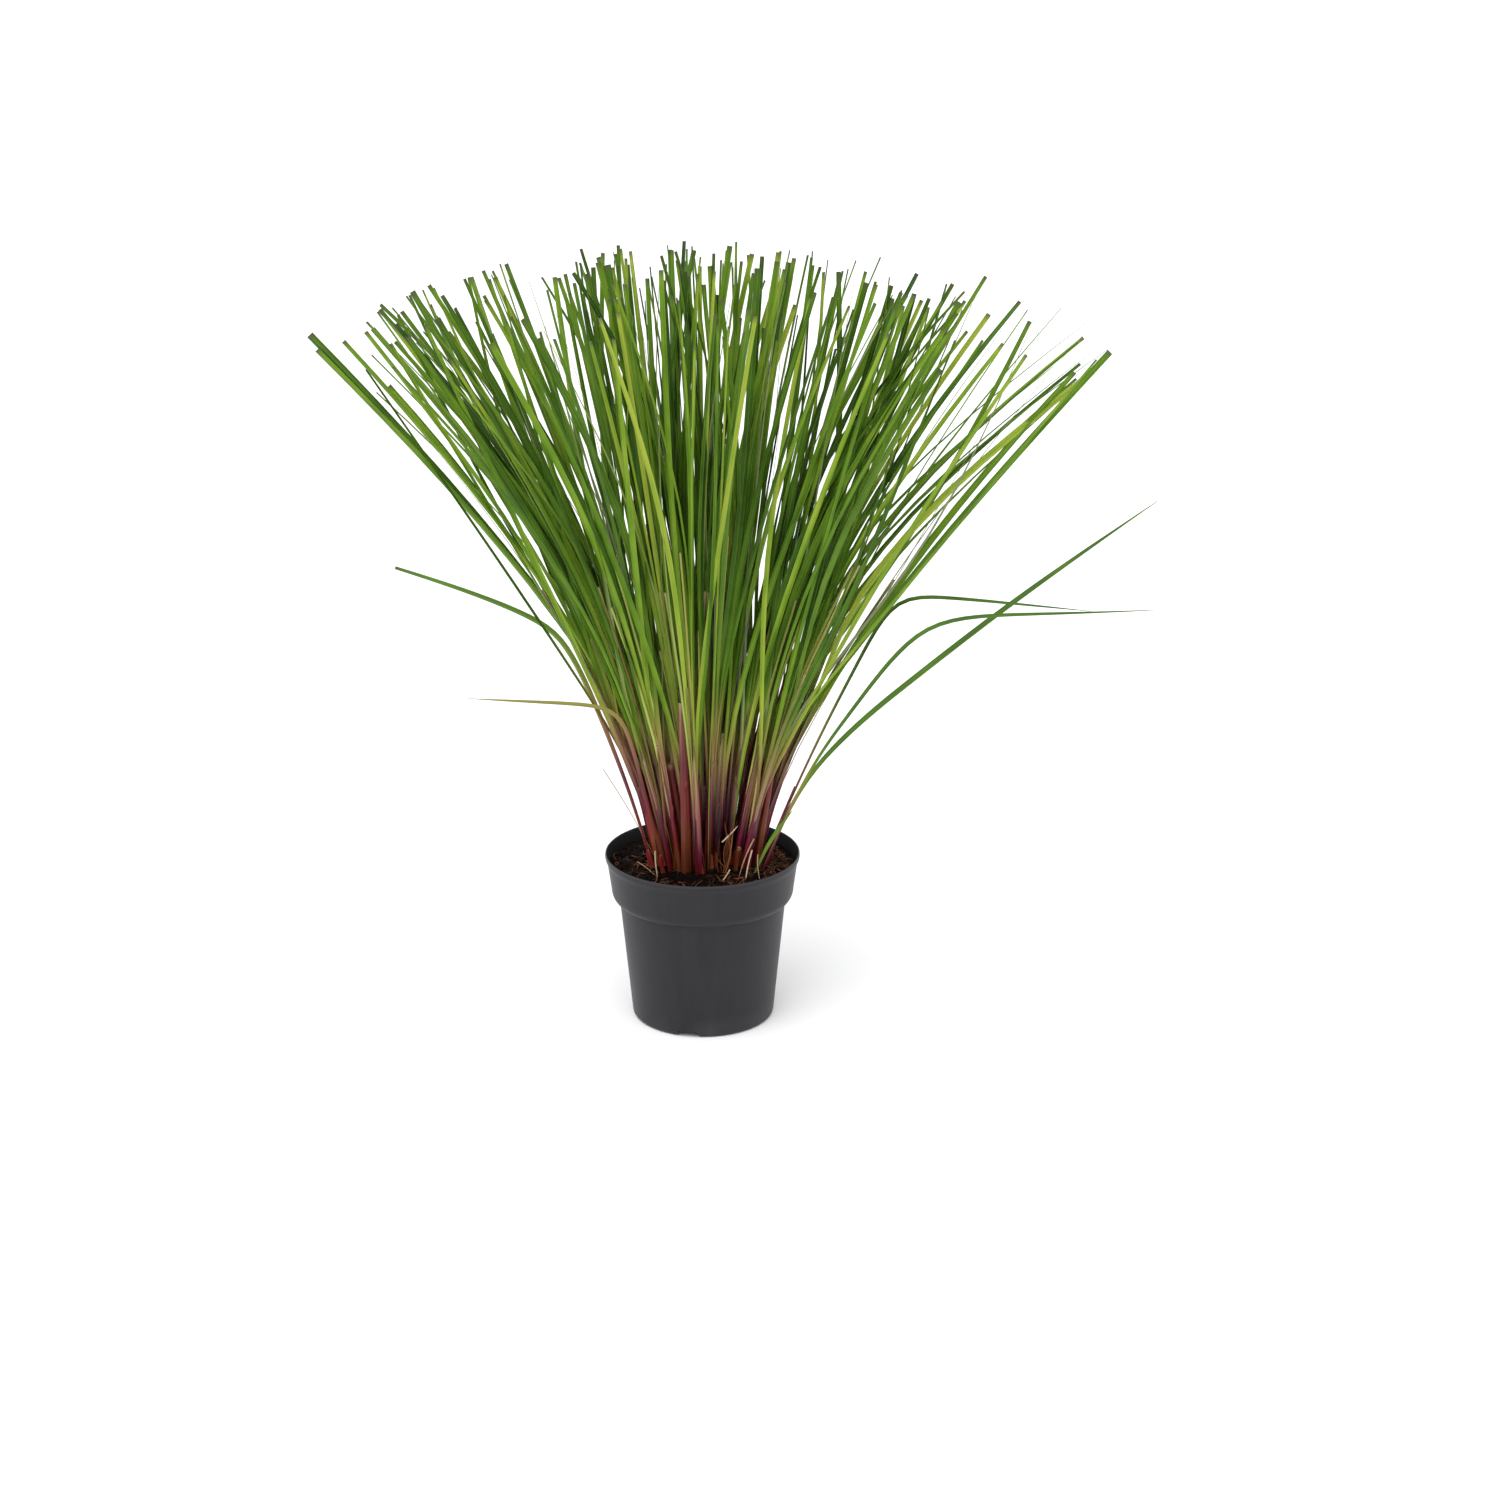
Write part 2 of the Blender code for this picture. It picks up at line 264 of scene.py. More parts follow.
def span(tree, value, low, high):
    # 0 below low, 1 above high, even between them
    made = node(tree, "ShaderNodeMapRange", (0, 0), clamp=True)
    tree.links.new(value, made.inputs["Value"])
    made.inputs["From Min"].default_value = low
    made.inputs["From Max"].default_value = high
    return made.outputs[0]


def vectorOf(tree, x, y, z=0.0):
    made = node(tree, "ShaderNodeCombineXYZ", (0, 0))
    for socket, value in zip(made.inputs, (x, y, z)):
        if isinstance(value, (int, float)):
            socket.default_value = value
        else:
            tree.links.new(value, socket)
    return made.outputs[0]


grassLook = {
    "deepGreen": (0.013, 0.039, 0.0009),
    "midGreen": (0.060, 0.143, 0.006),
    "brightGreen": (0.150, 0.272, 0.016),
    "yellowGreen": (0.310, 0.388, 0.042),
    "blueGreen": (0.040, 0.100, 0.030),
    "paleWisp": (0.330, 0.340, 0.220),
    "dryTip": (0.080, 0.085, 0.045),
    "edgeLine": (0.230, 0.330, 0.070),
    "roughness": 0.50,
    "gloss": 0.13,
}

# colours up the foot of a blade and of a sheath: metres above the soil, colour
bladeFoot = (
    (0.000, (0.120, 0.016, 0.012)),
    (0.040, (0.110, 0.014, 0.034)),
    (0.080, (0.230, 0.110, 0.060)),
    (0.120, (0.270, 0.215, 0.055)),
    (0.175, (0.170, 0.215, 0.022)),
)
sheathFoot = (
    (-0.010, (0.250, 0.070, 0.020)),
    (0.006, (0.200, 0.015, 0.008)),
    (0.022, (0.250, 0.010, 0.022)),
    (0.046, (0.180, 0.015, 0.052)),
    (0.078, (0.360, 0.138, 0.110)),
    (0.118, (0.440, 0.310, 0.128)),
    (0.190, (0.280, 0.325, 0.060)),
)
# the crown that the shoots rise from: middle and half sizes, which bound the painted shade inside the clump
crown = {"x": 0.003, "y": 0.002, "across": 0.045, "deep": 0.040}


def leafParts(tree):
    # across and along the blade, its tone, place and height above the soil, and the painted shade low in the
    # clump
    leafMap = node(tree, "ShaderNodeUVMap", (-1400, 0), uv_map="leafMap").outputs[0]
    mapAcross, along, _ = splitXyz(tree, leafMap)
    tone = leafValue(tree, "leafTone")
    shift = leafValue(tree, "leafShift")
    place = objectPlace(tree)
    x, y, z = splitXyz(tree, place)
    height = mathNode(tree, "SUBTRACT", z, soilTop)
    across = mathNode(tree, "FRACT", mapAcross)
    # painted shade: darker near the soil, and much darker inside the clump below 110 mm, where little light
    # reaches
    aside = timesPlus(tree, x, 1 / crown["across"], -crown["x"] / crown["across"])
    behind = timesPlus(tree, y, 1 / crown["deep"], -crown["y"] / crown["deep"])
    out = mathNode(tree, "ADD", mathNode(tree, "POWER", aside, 2.0), mathNode(tree, "POWER", behind, 2.0))
    insideShade = times(tree, span(tree, out, 0.95, 0.45), span(tree, height, 0.110, 0.030))
    deep = timesPlus(tree, span(tree, height, 0.0, 0.030), 0.35, 0.65)
    deep = times(tree, deep, timesPlus(tree, insideShade, -0.80, 1.0))
    deep = vectorOf(tree, deep, deep, deep)
    return across, along, tone, place, mathNode(tree, "ADD", height, shift), deep


def veinsOf(tree, across, along, tone, count, stretch):
    # noise drawn out along the blade, different on each one
    shifted = timesPlus(tree, tone, 37.0, times(tree, along, stretch))
    return noise(tree, vectorOf(tree, times(tree, across, count), shifted), 1.0, 2.0)


def pushed(tree, value, by, amount):
    # a value moved up or down by a noise that swings around a half
    return timesPlus(tree, mathNode(tree, "SUBTRACT", by, 0.5), amount, value)


def heightRamp(tree, height, stops):
    low, high = stops[0][0], stops[-1][0]
    spread = [((at - low) / (high - low), colour) for at, colour in stops]
    return ramp(tree, span(tree, height, low, high), spread)


def grassMaterial():
    look = grassLook
    material, tree, shader = startMaterial("grassBlade")
    across, along, tone, place, height, deep = leafParts(tree)
    blue = leafValue(tree, "leafBlue")
    pale = leafValue(tree, "leafPale")

    # broad light and dark stretches, fine veins the whole length, yellower towards the foot
    veins = veinsOf(tree, across, along, tone, 15.0, 1.2)
    broadVeins = veinsOf(tree, across, along, tone, 4.0, 2.5)
    level = pushed(tree, tone, noise(tree, place, 20.0, 2.0), 0.80)
    level = pushed(tree, level, veins, 0.65)
    level = pushed(tree, level, broadVeins, 0.60)
    level = timesPlus(tree, span(tree, height, 0.30, 0.48), 0.12, level)
    level = mathNode(tree, "MULTIPLY_ADD", span(tree, height, 0.32, 0.12), 0.26, level, clamp=True)
    greens = ("deepGreen", "midGreen", "brightGreen", "yellowGreen")
    green = ramp(tree, level, [(at, look[name]) for at, name in zip((0.0, 0.36, 0.70, 1.0), greens)])
    green = mixColour(tree, times(tree, blue, 0.7), green, look["blueGreen"])
    green = mixColour(tree, pale, green, look["paleWisp"])

    # the foot: crimson at the soil, then purple, mauve and olive before the green
    wander = pushed(tree, height, broadVeins, 0.05)
    foot = heightRamp(tree, wander, bladeFoot)
    colour = mixColour(tree, span(tree, wander, 0.165, 0.100), green, foot)

    # midrib and margins a little paler, the cut end dried out
    fromMiddle = mathNode(tree, "ABSOLUTE", mathNode(tree, "SUBTRACT", across, 0.5))
    rib = span(tree, fromMiddle, 0.06, 0.02)
    margin = span(tree, fromMiddle, 0.45, 0.485)
    lines = times(tree, mathNode(tree, "MAXIMUM", rib, margin), 0.28)
    colour = mixColour(tree, lines, colour, look["edgeLine"])
    dried = times(tree, span(tree, along, 0.986, 0.998), 0.75)
    colour = mixColour(tree, dried, colour, look["dryTip"])
    # painted shade: the blade is darkened low down and inside the clump
    colour = mixColour(tree, 1.0, colour, deep, "MULTIPLY")
    rough = timesPlus(tree, veins, 0.22, look["roughness"] - 0.11)
    raised = timesPlus(tree, rib, 0.8, veins)
    finishShader(tree, shader, colour, look["gloss"], rough, bump(tree, raised, 0.35, 0.0003))
    return material


sheathLook = {
    "edge": (0.340, 0.200, 0.090),
    "paperDark": (0.105, 0.010, 0.007),
    "paperLight": (0.370, 0.078, 0.030),
    "tornEnd": (0.360, 0.280, 0.130),
    "gloss": 0.30,
}


def sheathMaterial():
    look = sheathLook
    material, tree, shader = startMaterial("leafSheath")
    across, along, tone, place, height, deep = leafParts(tree)
    dry = leafValue(tree, "leafPale")
    veins = veinsOf(tree, across, along, tone, 24.0, 0.7)
    streaks = veinsOf(tree, across, along, tone, 6.0, 1.4)
    colour = heightRamp(tree, pushed(tree, height, streaks, 0.055), sheathFoot)
    shade = pushed(tree, timesPlus(tree, tone, 1.25, 0.25), veins, 1.8)
    shade = times(tree, shade, timesPlus(tree, streaks, 1.3, 0.35))
    colour = mixColour(tree, 1.0, colour, vectorOf(tree, shade, shade, shade), "MULTIPLY")
    # painted shade: the sheath is darkened low down and inside the clump
    colour = mixColour(tree, 1.0, colour, deep, "MULTIPLY")
    edge = span(tree, mathNode(tree, "ABSOLUTE", mathNode(tree, "SUBTRACT", across, 0.5)), 0.42, 0.49)
    colour = mixColour(tree, times(tree, edge, 0.40), colour, look["edge"])
    papery = mixColour(tree, streaks, look["paperDark"], look["paperLight"])
    colour = mixColour(tree, times(tree, dry, 0.85), colour, papery)
    torn = times(tree, span(tree, along, 0.94, 1.0), 0.6)
    colour = mixColour(tree, torn, colour, look["tornEnd"])
    rough = timesPlus(tree, veins, 0.25, 0.28)
    finishShader(tree, shader, colour, look["gloss"], rough, bump(tree, veins, 0.45, 0.0004))
    return material


potLook = {
    "dark": (0.0093, 0.0086, 0.0114),
    "light": (0.0162, 0.0152, 0.0192),
    "dust": (0.160, 0.150, 0.140),
    # painted highlight along the top of the rim
    "rimHighlight": (0.080, 0.080, 0.085),
    "gloss": 0.29,
}


def potMaterial():
    look = potLook
    material, tree, shader = startMaterial("nurseryPlastic")
    place = objectPlace(tree)
    x, y, z = splitXyz(tree, place)
    fine = noise(tree, place, 900.0, 2.0)
    clouds = noise(tree, place, 14.0, 4.0)
    stretched = vectorOf(tree, x, y, times(tree, z, 0.12))
    drawn = noise(tree, stretched, 120.0, 3.0)
    level = timesPlus(tree, clouds, 0.5, times(tree, drawn, 0.5))
    colour = ramp(tree, level, ((0.30, look["dark"]), (0.70, look["light"])))
    # dry dust near the foot, and a painted highlight along the top of the rim
    dust = times(tree, span(tree, z, 0.020, 0.0), span(tree, clouds, 0.42, 0.62))
    colour = mixColour(tree, times(tree, dust, 0.14), colour, look["dust"])
    # painted highlight: the top 2.5 mm of the rim is lighter
    lip = times(tree, span(tree, z, potHigh.z - 0.0025, potHigh.z), 0.25)
    colour = mixColour(tree, lip, colour, look["rimHighlight"])
    rough = timesPlus(tree, drawn, 0.10, timesPlus(tree, clouds, 0.16, 0.34))
    grain = timesPlus(tree, drawn, 0.6, fine)
    finishShader(tree, shader, colour, look["gloss"], rough, bump(tree, grain, 0.12, 0.0002))
    return material


soilLook = {
    # the hollow colour is a painted shade in the dips of the bump
    "hollow": (0.0006, 0.0003, 0.0003),
    "peat": (0.0040, 0.0014, 0.0009),
    "lump": (0.0240, 0.0090, 0.0050),
    "patch": (0.0200, 0.0070, 0.0030),
    "gloss": 0.06,
}


def soilMaterial():
    look = soilLook
    material, tree, shader = startMaterial("peatSoil")
    place = objectPlace(tree)
    lumps = noise(tree, place, 160.0, 5.0, 0.65)
    patches = noise(tree, place, 34.0, 3.0)
    # painted shade: nearly black in the hollows of the bump, browner peat on the lumps
    colour = ramp(tree, lumps, ((0.34, look["hollow"]), (0.56, look["peat"]), (0.80, look["lump"])))
    patchy = times(tree, span(tree, patches, 0.5, 0.7), 0.35)
    colour = mixColour(tree, patchy, colour, look["patch"])
    rough = timesPlus(tree, lumps, -0.35, 0.98)
    finishShader(tree, shader, colour, look["gloss"], rough, bump(tree, lumps, 0.9, 0.0015))
    return material


def fibreMaterial(name, dark, light, scale):
    material, tree, shader = startMaterial(name)
    place = objectPlace(tree)
    tone = leafValue(tree, "leafTone")
    streaks = noise(tree, place, scale, 3.0)
    level = mathNode(tree, "MULTIPLY_ADD", mathNode(tree, "SUBTRACT", streaks, 0.5), 0.8, tone, clamp=True)
    colour = ramp(tree, level, ((0.0, dark), (1.0, light)))
    rough = timesPlus(tree, streaks, 0.3, 0.45)
    finishShader(tree, shader, colour, 0.2, rough, bump(tree, streaks, 0.4, 0.0003))
    return material


print("making the materials")
grassBlade = grassMaterial()
leafSheath = sheathMaterial()
nurseryPlastic = potMaterial()
peatSoil = soilMaterial()
coirFibre = fibreMaterial("coirFibre", (0.010, 0.003, 0.002), (0.210, 0.075, 0.026), 400.0)
paleRoot = fibreMaterial("paleRoot", (0.330, 0.190, 0.100), (0.640, 0.520, 0.380), 300.0)


# Every blade, sheath and stem is a copy of a blank, which is modelled once, straight along X from 0 to 1.
# The copy is bent along this guide.
guideCurve = {"points": 7, "resolution": 14}


def makeGuide():
    # one path that every blade is bent along in turn
    freshStart()
    bpy.ops.curve.primitive_nurbs_path_add(location=(0.0, 0.0, 0.0))
    guide = bpy.context.object
    guide.name = "bendGuide"
    line = guide.data.splines[0]
    line.points.add(guideCurve["points"] - len(line.points))
    line.use_endpoint_u = True
    line.order_u = 4
    line.resolution_u = guideCurve["resolution"]
    guide.data.use_stretch = True
    guide.data.use_deform_bounds = True
    guide.hide_render = True
    return guide


def bentCopy(blank, places, radii, turns):
    # copies a blank and bends it through these places, as wide and as turned as asked at each
    piece = copyOf(blank)
    for point, place, radius, turn in zip(guide.data.splines[0].points, places, radii, turns):
        point.co = (*place, 1.0)
        point.radius = radius
        point.tilt = turn
    bend = piece.modifiers.new("bend", "CURVE")
    bend.object = guide
    bend.deform_axis = "POS_X"
    bpy.context.view_layer.objects.active = piece
    bpy.ops.object.modifier_apply(modifier="bend")
    return piece


def around(part):
    # the share of the way round a tube, or round this part of one that is left
    return lambda place, face: min(max(math.atan2(place.y, place.z) / math.tau / part + 0.5, 0.001), 0.999)


def tapered(radius, foot, less):
    # seven radii that shrink evenly from the foot up
    return [radius * (foot - less * step / 6) for step in range(7)]


def writeMap(piece, acrossOf):
    # the leaf map: across the blade, and from foot to tip
    layer = piece.data.uv_layers.new(name="leafMap")
    for face in piece.data.polygons:
        for corner in face.loop_indices:
            place = piece.data.vertices[piece.data.loops[corner].vertex_index].co
            layer.uv[corner].vector = (acrossOf(place, face), place.x)


bladeShape = {
    "width": 0.0060,
    "fold": 0.0014,
    "thickness": 0.0004,
    "stations": 14,
    "longStations": 44,     # for the blades that bend sharply
}


def makeBladeBlank(name, stations):
    shape = bladeShape
    freshStart()
    bpy.ops.mesh.primitive_cube_add(size=1.0, location=(0.5, 0.0, 0.0))
    blank = bpy.context.object
    blank.name = name
    settle(blank)
    editPiece(blank)
    cutAcross(stations, 0)
    pickAll()
    bpy.ops.mesh.bisect(plane_co=(0, 0, 0), plane_no=(0, 1, 0))
    # both margins pinched to an edge, the middle line pushed down into a keel
    pickPoints(lambda co: abs(co.y) > 0.25)
    bpy.ops.transform.resize(value=(1, 1, 0), center_override=(0.5, 0, 0))
    bpy.ops.mesh.remove_doubles(threshold=0.0001)
    pickAll()
    bpy.ops.transform.resize(value=(1, shape["width"], shape["thickness"]), center_override=(0.5, 0, 0))
    pickPoints(lambda co: abs(co.y) < shape["width"] / 4)
    bpy.ops.transform.translate(value=(0, 0, -shape["fold"]))
    pickAll()
    bpy.ops.transform.translate(value=(0, 0, shape["fold"] / 2))
    bpy.ops.mesh.normals_make_consistent(inside=False)
    leaveEdit()

    def across(place, face):
        under = face.normal.z < 0
        return min(max(place.y / shape["width"] + 0.5, 0.001), 0.999) + (1.0 if under else 0.0)

    writeMap(blank, across)
    paint(blank, grassBlade)
    return blank


sheathShape = {
    "sides": 12,
    "opening": -0.35,       # the part of the tube below this is cut away
    "flatness": 0.62,
    "wall": 0.10,
    "stations": 7,
}


def makeSheathBlank():
    # a gutter, a little more than half a flattened tube
    shape = sheathShape
    blank = addTube(shape["sides"], "NOTHING")
    pickPoints(lambda co: co.z < shape["opening"])
    bpy.ops.mesh.delete(type="VERT")
    cutAcross(shape["stations"], 0)
    pickAll()
    bpy.ops.transform.resize(value=(1, 1, shape["flatness"]), center_override=(0.5, 0, 0))
    # the end is drawn out to a point over the middle, as a torn collar is
    pickPoints(lambda co: co.x > 0.99 and abs(co.y) > 0.55)
    bpy.ops.transform.translate(value=(-0.09, 0, 0))
    pickPoints(lambda co: co.x > 0.9 and abs(co.y) > 0.9)
    bpy.ops.transform.translate(value=(-0.05, 0, 0))
    leaveEdit()
    wall = blank.modifiers.new("wall", "SOLIDIFY")
    wall.thickness = shape["wall"]
    wall.offset = -1.0
    wall.use_even_offset = True
    applyAll(blank)
    editPiece(blank)
    pickAll()
    bpy.ops.mesh.normals_make_consistent(inside=False)
    leaveEdit()
    blank.name = "sheathBlank"
    writeMap(blank, around(0.7))
    paint(blank, leafSheath)
    return blank


stemShape = {"sides": 10, "flatness": 0.8, "stations": 6, "rim": 0.30, "depth": 0.06}


def makeStemBlank():
    # a cut shoot: a tube with a hollow in its cut end
    shape = stemShape
    blank = addTube(shape["sides"], "NGON")
    cutAcross(shape["stations"], 0)
    pickFaces(lambda normal: normal.x > 0.9)
    bpy.ops.mesh.inset(thickness=shape["rim"], depth=0)
    bpy.ops.transform.translate(value=(-shape["depth"], 0, 0))
    pickAll()
    bpy.ops.transform.resize(value=(1, 1, shape["flatness"]), center_override=(0.5, 0, 0))
    leaveEdit()
    blank.name = "stemBlank"
    writeMap(blank, around(1.0))
    paint(blank, leafSheath)
    return blank


print("modelling the blanks")
guide = makeGuide()
bladeBlank = makeBladeBlank("bladeBlank", bladeShape["stations"])
longBlade = makeBladeBlank("longBlade", bladeShape["longStations"])
sheathBlank = makeSheathBlank()
stemBlank = makeStemBlank()


def middleLine(name):
    # every ring of a shoot's solid lies level, so each height gives one point of its middle line
    levels = {}
    for corner in nodes[name].data.vertices:
        levels.setdefault(round(corner.co.z, 4), []).append(corner.co)
    line = []
    for height in sorted(levels):
        ring = levels[height]
        line.append(Vector([(min(values) + max(values)) / 2 for values in zip(*ring)]))
    return line


def pointOn(line, share):
    # a point on the middle line at this share of its height
    height = line[0].z + (line[-1].z - line[0].z) * min(max(share, 0.0), 1.0)
    for low, high in zip(line, line[1:]):
        if height <= high.z:
            return low.lerp(high, (height - low.z) / (high.z - low.z))
    return line[-1].copy()


clump = {
    "leaves": (7, 9),           # fewest and most leaves on a shoot
    "reach": (0.45, 1.0),       # how far out a leaf goes, against its shoot's tip
    "spreadAcross": 0.036,
    "spreadDeep": 0.026,
    "sides": (-0.268, 0.318),   # no leaf but those listed ends further out
    "fallAcross": 0.072,        # how much lower the trimmed top is at the sides
    "fallDeep": 0.030,
    "depth": 0.186,
    "halfAcross": 0.330,
    "halfDeep": 0.200,
    "drop": 0.019,              # how far below the trimmed top a leaf ends, as a mean
    "shortest": 0.070,
    "collar": (0.12, 0.34),     # where a leaf leaves its sheath, as a share of the shoot's height
    "bend": (-0.05, 0.85),      # how much steeper a leaf starts than it ends
    "sway": 0.011,
    "nudge": 0.0026,            # how far a leaf's foot is from the middle of its shoot
    "looseNudge": 0.0075,
    "looseShare": 0.16,         # leaves that come up beside their sheath
    "wispShare": 0.12,
    "thinRight": 0.19,          # past this there are three times as many wisps
    "yellowShare": 0.05,        # leaves that stay yellow-green down to the soil
    "clearOfCut": 0.0095,       # leaves in front keep this far from a cut stem
}

fanTop = max(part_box(name)[1].z for name in shootNames)


def trimmedTop(x, y):
    fall = clump["fallAcross"] * (x / clump["halfAcross"]) ** 2
    return fanTop - fall - clump["fallDeep"] * (y / clump["halfDeep"]) ** 2


def leafRoute(line, tip, collar, bend, sway):
    # from the soil up inside the sheath to the collar, then outwards to the tip, more and more as it rises
    leaving = pointOn(line, collar)
    rest = tip - leaving
    route = [pointOn(line, 0.0), pointOn(line, collar * 0.5), leaving]
    for share, swayed in ((0.24, 0.5), (0.50, 1.0), (0.77, 0.6), (1.0, 0.0)):
        outward = share - bend * share * (1 - share)
        route.append(leaving + Vector((rest.x * outward, rest.y * outward, rest.z * share)) + sway * swayed)
    return route


def hidesCut(route):
    # True where a leaf passes in front of a cut stem that is in plain view
    for line in inView:
        for low, high in zip(route, route[1:]):
            for step in range(4):
                place = low.lerp(high, step / 4)
                if line[0].z + 0.03 < place.z < line[-1].z + 0.012:
                    stem = pointOn(line, (place.z - line[0].z) / (line[-1].z - line[0].z))
                    if place.y < stem.y and abs(place.x - stem.x) < clump["clearOfCut"]:
                        return True
    return False


def writeLook(piece, tone, blue=0.0, pale=0.0, shift=0.0):
    writeValue(piece, "leafTone", tone)
    writeValue(piece, "leafBlue", blue)
    writeValue(piece, "leafPale", pale)
    writeValue(piece, "leafShift", shift)


def makeLeaf(line, tip, chance, width, look, wisp=False, blunt=None, bend=None):
    collar = chance.uniform(*clump["collar"])
    for _ in range(9):
        sway = Vector((chance.gauss(0, 1), chance.gauss(0, 1), 0)) * clump["sway"]
        if bend is None:
            route = leafRoute(line, tip, collar, chance.uniform(*clump["bend"]), sway)
        else:
            route = leafRoute(line, tip, 0.20, bend, sway * 0.2)
        if not hidesCut(route):
            break
    loose = chance.random() < clump["looseShare"]
    nudge = Vector((chance.uniform(-1, 1), chance.uniform(-1, 1), 0))
    nudge *= clump["looseNudge" if loose else "nudge"]
    for number, share in enumerate((0.8 if loose else 0.3, 0.7, 1.0)):
        route[number] += nudge * share
    if look[3] == youngLook["shift"]:
        # a young yellow leaf rises in front of its sheath
        for number in range(2):
            route[number] += Vector((0, -youngLook["forward"], 0))
    route[0].z = soilTop - 0.004
    if wisp:
        radii = [0.40, 0.42, 0.45, 0.45, 0.32, 0.18, 0.08]
    else:
        end = blunt or chance.uniform(0.55, 0.85)
        radii = [0.40, 0.44, 0.60, 0.86, 1.0, (1.0 + end) / 2, end]
    # those listed show their flat side to the front
    first = chance.uniform(1.2, 1.7) if blunt else chance.uniform(0, math.tau)
    twist = chance.gauss(0, 0.3 if blunt else 1.1)
    turns = [first + twist * share for share in (0, 0.05, 0.15, 0.35, 0.6, 0.8, 1.0)]
    leaf = bentCopy(bladeBlank, route, [radius * width for radius in radii], turns)
    writeLook(leaf, *look)
    return leaf


sheaths = {
    "radius": 0.0064,
    "heights": (0.068, 0.105, 0.150),
    "shrink": 0.85,
    "scales": (0.008, 0.022),   # shortest and tallest papery scale at the foot
    "scaleRadius": 0.0060,
    "frontRow": -0.012,         # the shoots in front of this have more scales
}


def partWay(line, share, low):
    # seven places up the middle line, from just under the soil
    places = [pointOn(line, share * step / 6) for step in range(7)]
    places[0].z = low
    return places


def makeSheaths(line, chance, shift):
    made = []
    tall = line[-1].z - line[0].z
    faceTurn = chance.uniform(0, math.tau)
    for number, height in enumerate(sheaths["heights"]):
        share = height * chance.uniform(0.75, 1.25) / tall
        radius = sheaths["radius"] * sheaths["shrink"] ** number * chance.uniform(0.85, 1.10)
        side = faceTurn + math.pi * (number % 2) + chance.uniform(-0.3, 0.3)
        places = partWay(line, share, soilTop - 0.003)
        made.append(bentCopy(sheathBlank, places, tapered(radius, 1.04, 0.44), [side] * 7))
        writeLook(made[-1], chance.random(), 0.0, 0.0, shift + chance.uniform(-0.012, 0.012))
    inFront = line[0].y < sheaths["frontRow"]
    for number in range(chance.choice((1, 2, 2)) if inFront else chance.choice((0, 0, 1))):
        share = chance.uniform(*sheaths["scales"]) / tall
        radius = sheaths["scaleRadius"] * chance.uniform(0.8, 1.05)
        side = faceTurn + 1.5 + math.pi * number
        places = partWay(line, share, soilTop - 0.004)
        made.append(bentCopy(sheathBlank, places, tapered(radius, 1.0, 0.42), [side] * 7))
        writeLook(made[-1], chance.random(), 0.0, chance.uniform(0.3, 1.0), 0.0)
    return made


culms = {"perShoot": 2, "reach": (0.25, 0.60), "lean": 0.010, "outer": 0.028, "radius": (0.0012, 0.0022)}


def makeCulm(line, chance):
    # a slender round stalk between the leaves
    places = partWay(line, chance.uniform(*culms["reach"]), soilTop - 0.003)
    lean = Vector((chance.gauss(0, 1), chance.gauss(0, 1), 0)) * culms["lean"]
    # an outer one leans back into the clump
    if abs(line[0].x) > culms["outer"]:
        lean.x = -math.copysign(lean.x, line[0].x)
    for step, place in enumerate(places):
        place += lean * (step / 6) ** 1.5
    radius = chance.uniform(*culms["radius"])
    culm = bentCopy(stemBlank, places, tapered(radius, 1.1, 0.5), [0.0] * 7)
    writeLook(culm, chance.random(), 0.0, chance.choice((0.0, 0.0, 0.35)), chance.uniform(0.0, 0.10))
    return culm


# leaves that reach the outline, listed one by one: tip, width, width at the tip, bend, and how far out
# the tip of the shoot that each grows from is, against the leaf's own
outlineLeaves = (
    ((-0.3206, -0.004, 0.606), 1.1, 0.95, 0.25, 0.7),
    ((-0.315, -0.008, 0.594), 1.0, 0.95, 0.3, 0.7),
    ((-0.288, -0.04, 0.608), 0.7, 0.85, 0.35, 0.8),
    ((-0.256, 0.03, 0.622), 0.5, 0.8, 0.5, 0.8),
    ((-0.249, 0.034, 0.618), 1.05, 0.8, 0.4, 0.75),
    ((-0.22, -0.015, 0.649), 0.8, 0.75, 0.3, 0.8),
    ((0.335, -0.03, 0.597), 1.0, 0.9, 0.1, 0.8),
    ((0.236, 0.02, 0.65), 0.8, 0.7, 0.4, 0.8),
    ((0.3, 0.025, 0.623), 0.42, 0.2, 0.5, 0.7),
    ((0.316, 0.04, 0.56), 0.65, 0.6, 0.6, 0.75),
    ((0.276, 0.05, 0.607), 1.0, 0.8, -0.3, 0.8),
    ((0.344, 0.03, 0.59), 0.5, 0.1, 0.95, 0.75),
    ((0.312, 0.05, 0.547), 0.55, 0.15, 0.5, 0.8),
    ((0.298, 0.06, 0.54), 0.5, 0.12, 0.45, 0.65),
    ((0.322, -0.01, 0.621), 0.38, 0.1, 0.85, 0.6),
    ((0.33, 0.0, 0.596), 0.42, 0.1, 0.9, 0.65),
    ((0.29, -0.02, 0.583), 0.6, 0.2, 0.75, 0.6),
)

# young yellow-green leaves at the front: tip, width, bend, and as above
youngLook = {"tone": (0.6, 0.72), "shift": 0.11, "forward": 0.0045}
youngLeaves = (
    ((-0.205, -0.05, 0.62), 0.95, 0.3, 0.95),
    ((-0.075, -0.12, 0.64), 0.8, 0.2, 0.9),
    ((0.025, -0.14, 0.64), 0.85, 0.3, 1.0),
    ((0.15, -0.12, 0.63), 0.9, 0.4, 0.95),
    ((0.245, -0.06, 0.61), 0.85, 0.45, 0.9),
)

shootLines = {name: middleLine(name) for name in shootNames}
inView = [middleLine(name) for name in ("cut_stem_1", "cut_stem_2", "cut_stem_3")]


def growsFrom(tip, out):
    # the shoot that ends nearest to this place
    aim = Vector((tip[0] * out, tip[1], tip[2]))
    return min(shootNames, key=lambda name: (shootLines[name][-1] - aim).length)


